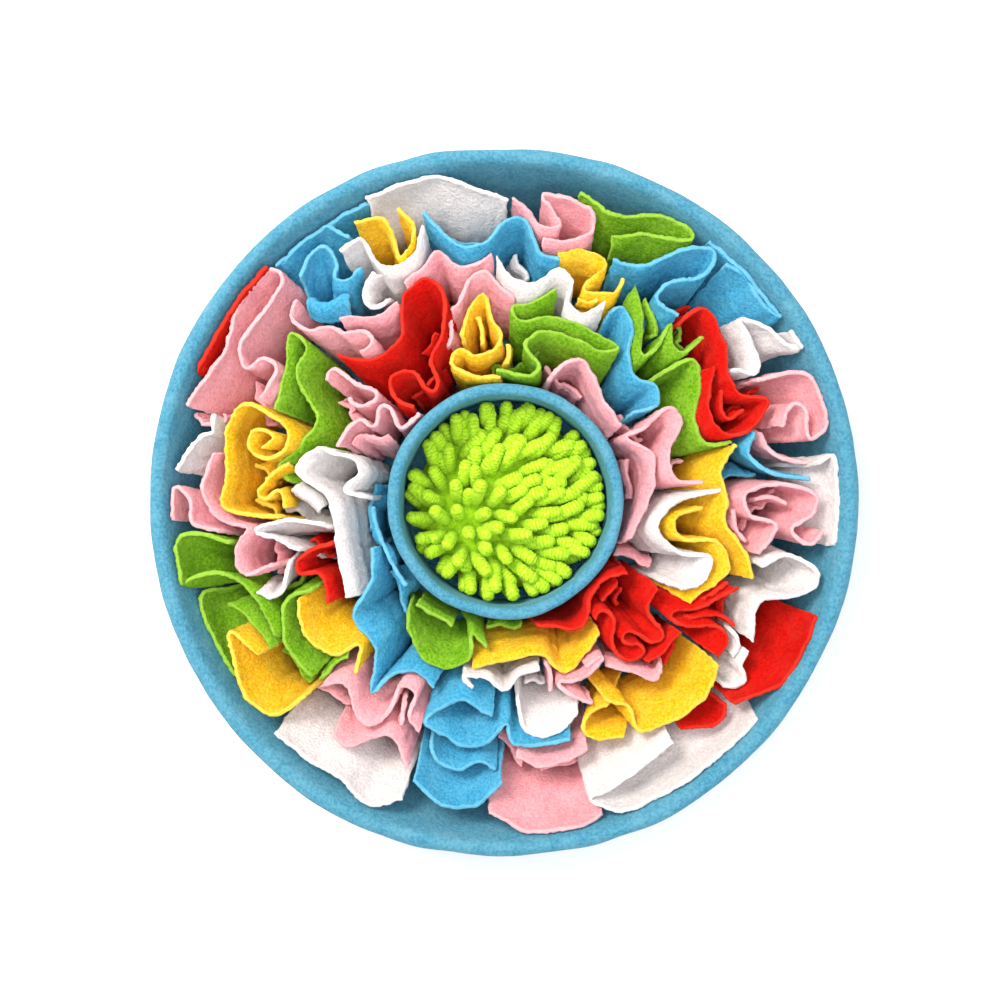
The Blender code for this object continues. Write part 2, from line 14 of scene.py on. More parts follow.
import bpy
import numpy as np
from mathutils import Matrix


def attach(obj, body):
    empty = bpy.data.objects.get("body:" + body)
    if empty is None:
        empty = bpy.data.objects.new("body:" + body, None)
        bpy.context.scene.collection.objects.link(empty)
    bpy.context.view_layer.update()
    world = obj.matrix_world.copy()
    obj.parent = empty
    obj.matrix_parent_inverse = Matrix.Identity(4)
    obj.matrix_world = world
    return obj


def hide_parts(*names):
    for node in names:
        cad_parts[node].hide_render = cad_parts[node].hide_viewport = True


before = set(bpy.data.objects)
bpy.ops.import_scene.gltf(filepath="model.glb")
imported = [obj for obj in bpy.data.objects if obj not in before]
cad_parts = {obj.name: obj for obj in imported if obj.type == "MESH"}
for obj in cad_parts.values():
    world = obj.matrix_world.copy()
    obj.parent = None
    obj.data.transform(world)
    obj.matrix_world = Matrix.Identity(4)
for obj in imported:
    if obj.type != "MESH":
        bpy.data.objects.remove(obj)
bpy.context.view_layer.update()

LOG = logging.getLogger("snuffle_mat")
MM = 0.001


# ---------------------------------------------------------------- names and finishes


class Colour(Enum):
    """The record's material slots."""

    TUB = "tub"
    CHENILLE = "chenille"
    BLUE = "blue"
    GREEN = "green"
    YELLOW = "yellow"
    RED = "red"
    PINK = "pink"
    WHITE = "white"


def linear(hex_colour: str) -> tuple[float, float, float, float]:
    """A linear RGBA colour from an sRGB hex value.

    Args:
        hex_colour: six hex digits, red first.

    Returns:
        Red, green, blue and an alpha of 1.
    """
    channels = [int(hex_colour[i : i + 2], 16) / 255 for i in (0, 2, 4)]
    red, green, blue = (c / 12.92 if c <= 0.04045 else ((c + 0.055) / 1.055) ** 2.4 for c in channels)
    return (red, green, blue, 1.0)


def add_node(
    tree: bpy.types.NodeTree,
    kind: str,
    settings: Optional[dict] = None,
    links: Optional[dict] = None,
) -> bpy.types.Node:
    """Adds one node with its settings and links.

    Args:
        tree: the material's node tree.
        kind: Blender's name of the node.
        settings: properties by name, and values of input sockets by name or number.
        links: for input sockets by name or number, the output socket that feeds each.

    Returns:
        The new node.
    """
    node = tree.nodes.new(kind)
    for key, value in (settings or {}).items():
        if isinstance(key, str) and hasattr(node, key):
            setattr(node, key, value)
        else:
            node.inputs[key].default_value = value
    for key, source in (links or {}).items():
        tree.links.new(source, node.inputs[key])
    return node


def new_material(name: str) -> tuple[bpy.types.Material, bpy.types.Node]:
    """Starts a material with a Principled shader.

    Args:
        name: the material's name.

    Returns:
        The material and its Principled node.
    """
    material = bpy.data.materials.new(name)
    material.use_nodes = True
    return material, material.node_tree.nodes["Principled BSDF"]


@dataclass(frozen=True)
class FleeceFinish:
    """Anti-pill polyester fleece: a knit whose face was brushed up into a soft nap.

    The nap scatters light, so the cloth has no gloss, a soft bright rim where it turns away, and
    small specks where tufts lie differently.
    """

    name: str
    base: str  # the cloth as it looks face on
    deep: str  # between the tufts
    # The tip colour is also the painted highlight on the cut edges.
    tip: str  # the tips of the nap, and the cut edges
    tuft: float = 1.9  # a clump of nap, in millimetres: coarser than single fibres, so that it shows
    depth: float = 1.6  # height of the nap, in millimetres
    sheen: float = 0.22

    def build(self) -> bpy.types.Material:
        """Makes the material.

        Returns:
            The material, with the nap in its colour and its bump.
        """
        material, shader = new_material(self.name)
        tree = material.node_tree
        place = add_node(tree, "ShaderNodeTexCoord")
        # Clumps of nap, drawn a little coarser than they are, so that they show.
        tufts = add_node(
            tree,
            "ShaderNodeTexNoise",
            {"Scale": 1 / (self.tuft * MM), "Detail": 4.0, "Roughness": 0.72},
            {"Vector": place.outputs["Object"]},
        )
        # Patches where the nap was brushed another way by handling.
        brushed = add_node(
            tree,
            "ShaderNodeTexNoise",
            {"Scale": 1 / (14 * MM), "Detail": 2.0, "Roughness": 0.5, "Distortion": 0.6},
            {"Vector": place.outputs["Object"]},
        )
        speck = add_node(
            tree,
            "ShaderNodeMapRange",
            {"From Min": 0.38, "From Max": 0.6, "To Min": 0.0, "To Max": 1.0},
            {"Value": tufts.outputs["Fac"]},
        )
        body = add_node(
            tree,
            "ShaderNodeMix",
            {"data_type": "RGBA", 6: linear(self.deep), 7: linear(self.base)},
            {0: speck.outputs["Result"]},
        )
        patch = add_node(
            tree,
            "ShaderNodeMapRange",
            {"From Min": 0.4, "From Max": 0.75, "To Min": 0.0, "To Max": 0.22},
            {"Value": brushed.outputs["Fac"]},
        )
        napped = add_node(
            tree,
            "ShaderNodeMix",
            {"data_type": "RGBA", 7: linear(self.tip)},
            {0: patch.outputs["Result"], 6: body.outputs[2]},
        )
        # Painted highlight: the cut edges are mixed towards the tip colour, as where they catch the light.
        edge = add_node(tree, "ShaderNodeAttribute", {"attribute_name": "painted_edge_highlight"})
        edge_highlight_share = add_node(
            tree,
            "ShaderNodeMath",
            {"operation": "MULTIPLY", 1: 0.55},
            {0: edge.outputs["Fac"]},
        )
        coloured = add_node(
            tree,
            "ShaderNodeMix",
            {"data_type": "RGBA", 7: linear(self.tip)},
            {0: edge_highlight_share.outputs["Value"], 6: napped.outputs[2]},
        )
        bump = add_node(
            tree,
            "ShaderNodeBump",
            {"Strength": 1.0, "Distance": self.depth * MM},
            {"Height": tufts.outputs["Fac"]},
        )
        tree.links.new(coloured.outputs[2], shader.inputs["Base Color"])
        tree.links.new(bump.outputs["Normal"], shader.inputs["Normal"])
        shader.inputs["Roughness"].default_value = 0.95
        shader.inputs["IOR"].default_value = 1.45
        shader.inputs["Specular IOR Level"].default_value = 0.15
        shader.inputs["Sheen Weight"].default_value = self.sheen
        shader.inputs["Sheen Roughness"].default_value = 0.45
        shader.inputs["Sheen Tint"].default_value = linear(self.tip)
        return material


@dataclass(frozen=True)
class ChenilleFinish:
    """Microfibre chenille: short pile bound round a core yarn, so it shows as ribs of fine tufts."""

    name: str = "microfibre_chenille"
    base: str = "AADB1A"
    deep: str = "6C9F06"
    tip: str = "CEF04C"
    tuft: float = 0.9

    def build(self) -> bpy.types.Material:
        """Makes the material.

        Returns:
            The material, with random tufts of pile, painted highlights on the crests of the ribs and painted shade
            between them.
        """
        material, shader = new_material(self.name)
        tree = material.node_tree
        place = add_node(tree, "ShaderNodeTexCoord")
        tufts = add_node(
            tree,
            "ShaderNodeTexNoise",
            {"Scale": 1 / (self.tuft * MM), "Detail": 3.0, "Roughness": 0.65},
            {"Vector": place.outputs["Object"]},
        )
        # Painted light: the crests of the ribs are mixed lighter and the hollows between them darker, on top of the
        # random tufts.
        crest_light = add_node(tree, "ShaderNodeAttribute", {"attribute_name": "painted_crest_light"})
        raised = add_node(
            tree,
            "ShaderNodeMath",
            {"operation": "MULTIPLY_ADD", 1: 0.55, 2: -0.12},
            {0: crest_light.outputs["Fac"]},
        )
        lit = add_node(
            tree,
            "ShaderNodeMath",
            {"operation": "MULTIPLY_ADD", "use_clamp": True, 1: 0.9},
            {0: tufts.outputs["Fac"], 2: raised.outputs["Value"]},
        )
        ramp = add_node(tree, "ShaderNodeValToRGB", {}, {"Fac": lit.outputs["Value"]})
        ramp.color_ramp.elements[0].position = 0.22
        ramp.color_ramp.elements[0].color = linear(self.deep)
        ramp.color_ramp.elements[1].position = 0.86
        ramp.color_ramp.elements[1].color = linear(self.tip)
        middle = ramp.color_ramp.elements.new(0.52)
        middle.color = linear(self.base)
        bump = add_node(
            tree,
            "ShaderNodeBump",
            {"Strength": 0.6, "Distance": 0.4 * MM},
            {"Height": tufts.outputs["Fac"]},
        )
        tree.links.new(ramp.outputs["Color"], shader.inputs["Base Color"])
        tree.links.new(bump.outputs["Normal"], shader.inputs["Normal"])
        shader.inputs["Roughness"].default_value = 0.9
        shader.inputs["Specular IOR Level"].default_value = 0.2
        shader.inputs["Sheen Weight"].default_value = 0.4
        shader.inputs["Sheen Roughness"].default_value = 0.4
        shader.inputs["Sheen Tint"].default_value = linear(self.tip)
        return material


@dataclass(frozen=True)
class FloorFinish:
    """A matt white studio sweep, painted, with the faintest unevenness."""

    name: str = "studio_floor"
    base: str = "FBFBFB"

    def build(self) -> bpy.types.Material:
        """Makes the material.

        Returns:
            The floor's material.
        """
        material, shader = new_material(self.name)
        tree = material.node_tree
        place = add_node(tree, "ShaderNodeTexCoord")
        cloud = add_node(
            tree, "ShaderNodeTexNoise", {"Scale": 3.0, "Detail": 2.0}, {"Vector": place.outputs["Object"]}
        )
        paint = add_node(
            tree,
            "ShaderNodeMix",
            {"data_type": "RGBA", 6: linear(self.base), 7: linear("F6F6F6")},
            {0: cloud.outputs["Fac"]},
        )
        tree.links.new(paint.outputs[2], shader.inputs["Base Color"])
        shader.inputs["Roughness"].default_value = 0.8
        return material


FLEECES = {
    Colour.TUB: FleeceFinish("tub_fleece", "5BA3BD", "3C84A2", "92C4D3", tuft=2.2, depth=1.7, sheen=0.3),
    Colour.BLUE: FleeceFinish("blue_fleece", "50B2DA", "2C8CB8", "86CFE6"),
    Colour.GREEN: FleeceFinish("green_fleece", "86BC22", "548E0A", "B0DA58"),
    Colour.YELLOW: FleeceFinish("yellow_fleece", "FFD226", "EEA204", "FFE66C"),
    Colour.RED: FleeceFinish("red_fleece", "E0140A", "BC0B04", "EA4432"),
    Colour.PINK: FleeceFinish("pink_fleece", "FAB0B7", "EA949C", "FCCCD0"),
    Colour.WHITE: FleeceFinish("white_fleece", "EEE8E7", "D8D1D0", "FAF8F7"),
}


# ---------------------------------------------------------------- meshes


def new_object(
    name: str, points: np.ndarray, faces: list, material: bpy.types.Material, smooth: bool = True
) -> bpy.types.Object:
    """Makes one mesh object.

    Args:
        name: the object's name.
        points: the vertices, in millimetres.
        faces: tuples of vertex numbers, or an array of quads.
        material: the material of all its faces.
        smooth: whether its faces are shaded smooth.

    Returns:
        The object, linked to the scene.
    """
    mesh = bpy.data.meshes.new(name)
    mesh.from_pydata((np.asarray(points, float) * MM).tolist(), [], [tuple(f) for f in faces])
    mesh.polygons.foreach_set("use_smooth", [smooth] * len(mesh.polygons))
    mesh.materials.append(material)
    obj = bpy.data.objects.new(name, mesh)
    bpy.context.scene.collection.objects.link(obj)
    return obj


def paint(obj: bpy.types.Object, name: str, values: np.ndarray) -> None:
    """Stores one number at each vertex, for a material to read.

    Args:
        obj: the mesh object.
        name: the attribute's name.
        values: one number for each vertex.
    """
    layer = obj.data.attributes.new(name, "FLOAT", "POINT")
    layer.data.foreach_set("value", np.asarray(values, np.float32).ravel())


def grid_faces(rows: int, columns: int, wrap: bool = False) -> np.ndarray:
    """The quads of a grid of vertices stored row by row.

    Args:
        rows: number of rows.
        columns: number of columns.
        wrap: whether the last column joins the first.

    Returns:
        An array of vertex numbers, four to a quad.
    """
    across = columns if wrap else columns - 1
    row, column = np.meshgrid(np.arange(rows - 1), np.arange(across), indexing="ij")
    beside = (column + 1) % columns
    quads = np.stack(
        [row * columns + column, row * columns + beside, (row + 1) * columns + beside, (row + 1) * columns + column],
        axis=-1,
    )
    return quads.reshape(-1, 4)


def ring(radius: np.ndarray | float, height: float, columns: int) -> np.ndarray:
    """Evenly spaced points round the mat's middle, in millimetres.

    Args:
        radius: their distance from the middle, one for all or one for each.
        height: their height.
        columns: how many there are.

    Returns:
        The points.
    """
    angles = even_angles(columns)
    return np.column_stack([radius * np.cos(angles), radius * np.sin(angles), np.full(columns, height)])


def even_angles(columns: int) -> np.ndarray:
    """Evenly spaced angles round a full turn, in radians."""
    return np.linspace(0, 2 * math.pi, columns, endpoint=False)


def turned_tube(name: str, points: np.ndarray, material: bpy.types.Material) -> bpy.types.Object:
    """Makes a ring-shaped piece whose section is closed.

    Args:
        name: the object's name.
        points: rings of points, from one side of the foot round to the other.
        material: the material of all its faces.

    Returns:
        The object.
    """
    rows, columns = points.shape[:2]
    first, last = np.arange(columns), (rows - 1) * columns + np.arange(columns)
    foot = np.column_stack([last, np.roll(last, -1), np.roll(first, -1), first])
    faces = np.vstack([grid_faces(rows, columns, wrap=True), foot])
    return new_object(name, points.reshape(-1, 3), faces, material)


class Ripple:
    """Smooth, repeatable unevenness in space: a sum of a few long waves in fixed directions."""

    def __init__(self, wavelength: float, seed: int, waves: int = 14) -> None:
        """Chooses the waves.

        Args:
            wavelength: about how far apart the bumps are, in millimetres.
            seed: which of the many such patterns.
            waves: how many waves are summed.
        """
        chosen = np.random.default_rng(seed)
        directions = chosen.normal(size=(waves, 3))
        directions /= np.linalg.norm(directions, axis=1, keepdims=True)
        self.waves = directions * (2 * math.pi / wavelength) * chosen.uniform(0.6, 1.5, (waves, 1))
        self.starts = chosen.uniform(0, 2 * math.pi, waves)

    def at(self, points: np.ndarray) -> np.ndarray:
        """The unevenness at each point.

        Args:
            points: places in millimetres, in the last axis.

        Returns:
            Numbers that are mostly between -1 and 1.
        """
        return np.sin(points @ self.waves.T + self.starts).sum(-1) / math.sqrt(len(self.starts))


def dents(points: np.ndarray, creases: float, seed: int) -> np.ndarray:
    """How far the skin of a stuffed wall stands out: long dents and small creases.

    Args:
        points: places in millimetres.
        creases: about how far apart the creases are.
        seed: which unevenness it gets.

    Returns:
        Distances in millimetres.
    """
    return Ripple(52, seed).at(points * [1, 1, 0.5]) * 0.45 + Ripple(creases, seed + 1).at(points) * 0.12


def smooth_step(value: np.ndarray, low: float, high: float) -> np.ndarray:
    """0 below low, 1 above high, and smooth between."""
    share = np.clip((value - low) / (high - low), 0, 1)
    return share * share * (3 - 2 * share)


# ---------------------------------------------------------------- the strips' table and layout

GAP = 0.3
BASE_THICKNESS = 8.0
BASE_RADIUS = 186.0
RIM_HEIGHT = 74.0
FLOOR = BASE_THICKNESS + GAP
CUP_RADIUS = 75.0
CUP_THICKNESS = 7.6
CUP_TOP = 75.0


class Strip(NamedTuple):
    """One fleece strip.

    cut is its width from the seam to the free edge, or to its crest if it flops over. lean is
    where its seam lies from there, across the floor. folds are the places of its free edge, one
    for each fold. flop is how far the cloth beyond the crest hangs over, across the floor.
    """

    name: str
    colour: Colour
    cut: float
    lean: tuple
    folds: tuple
    flop: tuple = (0.0, 0.0)


B, G, Y, R, P, W = Colour.BLUE, Colour.GREEN, Colour.YELLOW, Colour.RED, Colour.PINK, Colour.WHITE

STRIPS = (
    # north-west
    Strip("blue_nw_1", B, 67, (8, -16),
          ((-88, 195), (-112, 184), (-136, 167), (-150, 152), (-138, 157), (-118, 173), (-97, 165))),
    Strip("white_nw", W, 69, (8, -16),
          ((-104, 158), (-91, 167), (-84, 154), (-76, 149), (-64, 154), (-57, 164), (-53, 176))),
    Strip("pink_nw_1", P, 71, (12, -6),
          ((-197, 59), (-186, 77), (-174, 96), (-168, 114), (-161, 130), (-146, 144), (-139, 141),
           (-150, 121), (-166, 99), (-166, 84), (-153, 91), (-145, 85), (-156, 66))),
    Strip("pink_nw_2", P, 69, (12, -14),
          ((-133, 129), (-137, 117), (-124, 109), (-112, 112), (-102, 107), (-90, 109), (-84, 102),
           (-94, 96))),
    Strip("red_nw_1", R, 73, (12, -4),
          ((-150, 146), (-160, 146), (-177, 125), (-189, 95), (-193, 80), (-187, 83))),
    Strip("green_nw", G, 67, (14, -6),
          ((-148, 58), (-141, 82), (-137, 108), (-127, 99), (-134, 82), (-127, 66), (-120, 52),
           (-126, 42), (-136, 31), (-146, 21), (-139, 13))),
    Strip("red_nw_2", R, 69, (8, -14),
          ((-106, 93), (-86, 90), (-68, 103), (-64, 133), (-51, 143), (-40, 134), (-40, 108),
           (-48, 90), (-43, 77), (-46, 69), (-52, 73), (-57, 82), (-65, 84), (-73, 78), (-73, 70),
           (-67, 63), (-58, 60))),
    Strip("pink_nw_3", P, 67, (12, -10),
          ((-115, 77), (-113, 84), (-108, 85), (-101, 79), (-93, 74), (-85, 72), (-80, 67),
           (-86, 62), (-97, 62), (-101, 67))),
    Strip("pink_nw_4", P, 67, (8, -6),
          ((-54, 56), (-62, 49), (-67, 46), (-70, 52), (-72, 58), (-76, 62), (-81, 59), (-81, 52),
           (-84, 46), (-88, 50), (-92, 53), (-98, 48), (-104, 41), (-106, 35))),
    Strip("yellow_nw", Y, 67, (0, -10),
          ((-94, 174), (-77, 178), (-71, 168), (-68, 154), (-59, 161), (-58, 176), (-68, 184))),
    # north
    Strip("white_n_1", W, 75, (0, -26),
          ((-88, 190), (-73, 196), (-48, 201), (-22, 196), (2, 190))),
    Strip("blue_n", B, 71, (0, -14),
          ((-52, 183), (-40, 171), (-27, 161), (-12, 165), (0, 178), (12, 180), (18, 168),
           (22, 158), (35, 155))),
    Strip("pink_n_1", P, 67, (4, -14),
          ((-64, 139), (-52, 149), (-43, 161), (-33, 151), (-20, 151), (-8, 158))),
    Strip("white_n_2", W, 69, (0, -14),
          ((-6, 157), (5, 142), (19, 139), (34, 149), (43, 143), (40, 128), (49, 120), (64, 127))),
    Strip("pink_n_3", P, 69, (-1, -10),
          ((3, 191), (14, 186), (24, 175), (36, 175), (31, 184), (22, 193), (40, 190), (55, 186),
           (56, 173), (40, 166), (24, 168))),
    Strip("yellow_n_1", Y, 65, (-2, -12),
          ((34, 157), (50, 161), (66, 152), (56, 144), (50, 136), (70, 133), (76, 143))),
    Strip("green_n_1", G, 69, (2, -16),
          ((46, 191), (68, 180), (95, 178), (112, 170), (118, 163), (103, 165), (88, 169), (68, 168))),
    Strip("green_n_2", G, 65, (0, -11),
          ((33, 137), (20, 128), (4, 125), (8, 116), (30, 118), (52, 111), (74, 98), (60, 96),
           (46, 103), (22, 109), (12, 99), (22, 88), (18, 80), (-6, 84))),
    Strip("yellow_n_2", Y, 65, (2, -9),
          ((-28, 106), (-22, 125), (-14, 134), (-9, 118), (-2, 104), (-9, 96), (-20, 92), (-28, 98),
           (-35, 90), (-28, 82), (-3, 79))),
    # north-east
    Strip("blue_ne_1", B, 71, (-4, -10),
          ((68, 154), (88, 150), (110, 158), (130, 156), (128, 144), (104, 139), (96, 129), (110, 118))),
    Strip("blue_ne_2", B, 69, (-10, -9),
          ((128, 163), (154, 143), (177, 118), (166, 118), (156, 128), (150, 140), (137, 147))),
    Strip("blue_ne_3", B, 63, (-7, -8),
          ((66, 121), (75, 125), (82, 111), (79, 94), (85, 78), (97, 74), (98, 62), (82, 57))),
    Strip("green_ne_1", G, 67, (-8, -10),
          ((83, 138), (88, 118), (88, 93), (97, 98), (106, 115), (107, 101), (114, 95), (127, 106))),
    Strip("green_ne_2", G, 67, (-16, -4),
          ((100, 82), (121, 91), (125, 70), (121, 50), (130, 36), (144, 38))),
    Strip("red_ne", R, 73, (-12, -2),
          ((115, 118), (127, 124), (140, 101), (143, 78), (151, 68), (168, 64), (158, 47),
           (143, 42), (130, 54), (133, 86))),
    Strip("white_ne", W, 73, (-10, 4),
          ((148, 84), (162, 81), (158, 99), (148, 116), (165, 108), (176, 97), (187, 96), (183, 110))),
    Strip("pink_ne", P, 73, (-8, 4),
          ((160, 77), (184, 80), (195, 68), (199, 46), (190, 38), (188, 58), (181, 62), (176, 47))),
    # east
    Strip("pink_e_1", P, 69, (-12, -4),
          ((125, 12), (108, 14), (104, 30), (113, 51), (104, 60), (88, 46), (76, 41), (90, 33),
           (96, 24), (93, 5), (80, -24))),
    Strip("white_e_1", W, 71, (-20, 2),
          ((137, 7), (110, 0), (97, -17), (111, -33), (132, -36), (128, -51), (112, -57))),
    Strip("yellow_e_1", Y, 69, (-14, -3),
          ((148, 37), (138, 20), (141, 0), (140, -14), (154, -34), (158, -50))),
    Strip("yellow_e_2", Y, 67, (-12, 0),
          ((127, -4), (108, -11), (113, -24), (136, -26), (143, -43), (118, -65))),
    Strip("pink_e_2", P, 69, (-7, 4),
          ((161, -34), (173, -15), (156, -9), (152, 3), (172, 11), (195, 4), (194, -8), (182, -18),
           (192, -28), (199, -18))),
    Strip("white_e_2", W, 73, (-10, 0),
          ((195, 24), (206, 28), (207, 4), (206, -28))),
    Strip("white_e_3", W, 71, (-4, 8),
          ((163, -42), (180, -34), (196, -46), (186, -59), (162, -64), (158, -90))),
    # south-east
    Strip("red_se_1", R, 73, (-14, 6),
          ((194, -72), (190, -92), (172, -112), (144, -127))),
    Strip("red_se_2", R, 69, (-12, 14),
          ((57, -75), (61, -69), (67, -71), (70, -77), (68, -85), (69, -94), (75, -101), (84, -102),
           (90, -97), (87, -92), (79, -92), (74, -88), (76, -84), (82, -83), (88, -87), (95, -91),
           (101, -89), (101, -83), (94, -76), (91, -69), (93, -62), (98, -56))),
    Strip("red_se_3", R, 69, (-16, 12),
          ((150, -55), (136, -62), (122, -69), (113, -70), (107, -71), (106, -75), (112, -79),
           (126, -80), (136, -80), (142, -85), (141, -93), (136, -100))),
    Strip("red_s", R, 67, (-8, 10),
          ((78, -46), (66, -48), (58, -55), (53, -62), (53, -71), (50, -78), (43, -82), (32, -80),
           (21, -80))),
    Strip("yellow_se", Y, 71, (-16, 14),
          ((136, -104), (128, -123), (106, -140), (84, -146), (80, -132), (64, -127))),
    Strip("white_se", W, 76, (-10, 26),
          ((106, -153), (84, -170), (64, -182), (52, -187), (74, -192), (94, -192), (112, -181),
           (138, -169), (160, -138))),
    # south
    Strip("yellow_s", Y, 65, (0, 16),
          ((-21, -107), (2, -101), (24, -98), (38, -111), (61, -84))),
    Strip("pink_s_2", P, 75, (0, 30),
          ((-10, -195), (18, -205), (42, -206), (60, -194))),
    Strip("blue_s_1", B, 69, (2, 16),
          ((-8, -138), (-29, -127), (-44, -134), (-52, -141), (-42, -148), (-25, -157), (-11, -154),
           (1, -141), (4, -155), (42, -152))),
    Strip("blue_s_2", B, 75, (2, 28),
          ((-58, -177), (-38, -191), (-18, -191), (-2, -179))),
    # south-west
    Strip("green_s", G, 65, (0, 22),
          ((-63, -80), (-53, -100), (-36, -107), (-22, -100), (-22, -84), (-12, -93))),
    Strip("blue_sw", B, 67, (14, 8),
          ((-84, -30), (-86, -52), (-97, -74), (-83, -92), (-84, -108), (-86, -124), (-74, -112),
           (-57, -109), (-46, -119))),
    Strip("pink_sw", P, 69, (8, 16),
          ((-117, -118), (-102, -117), (-95, -137), (-84, -144), (-73, -132), (-67, -118),
           (-57, -123), (-62, -139), (-55, -148))),
    Strip("white_sw", W, 75, (12, 26),
          ((-143, -143), (-122, -161), (-102, -172), (-87, -187), (-64, -186))),
    Strip("yellow_sw_1", Y, 69, (10, 20),
          ((-133, -62), (-127, -88), (-108, -98), (-93, -91), (-96, -110))),
    Strip("yellow_sw_2", Y, 71, (12, 6),
          ((-157, -98), (-174, -81), (-169, -101), (-160, -123), (-143, -134), (-128, -124))),
    Strip("green_sw", G, 67, (10, 8),
          ((-124, -57), (-140, -64), (-140, -92), (-123, -112))),
    # west
    Strip("green_w", G, 75, (14, -10),
          ((-176, -27), (-196, -20), (-208, -30), (-206, -52), (-184, -45), (-162, -58), (-146, -86))),
    Strip("yellow_w", Y, 73, (12, -2),
          ((-154, 34), (-147, 41), (-159, 46), (-163, 33), (-150, 27), (-139, 34), (-138, 45),
           (-166, 62), (-177, 46), (-177, 18), (-180, -3), (-146, -11))),
    Strip("pink_w_1", P, 71, (9, 4),
          ((-185, 31), (-191, 6), (-181, -13), (-164, -17), (-173, -32), (-167, -47), (-152, -41))),
    Strip("white_w_1", W, 71, (10, -10),
          ((-114, -15), (-142, -12), (-161, -19), (-146, -24), (-132, -32))),
    Strip("white_w_2", W, 71, (16, -2),
          ((-90, 3), (-104, 7), (-92, 18), (-98, 28), (-112, 31), (-117, 35), (-134, 20), (-113, 2),
           (-107, -30), (-101, -62))),
)

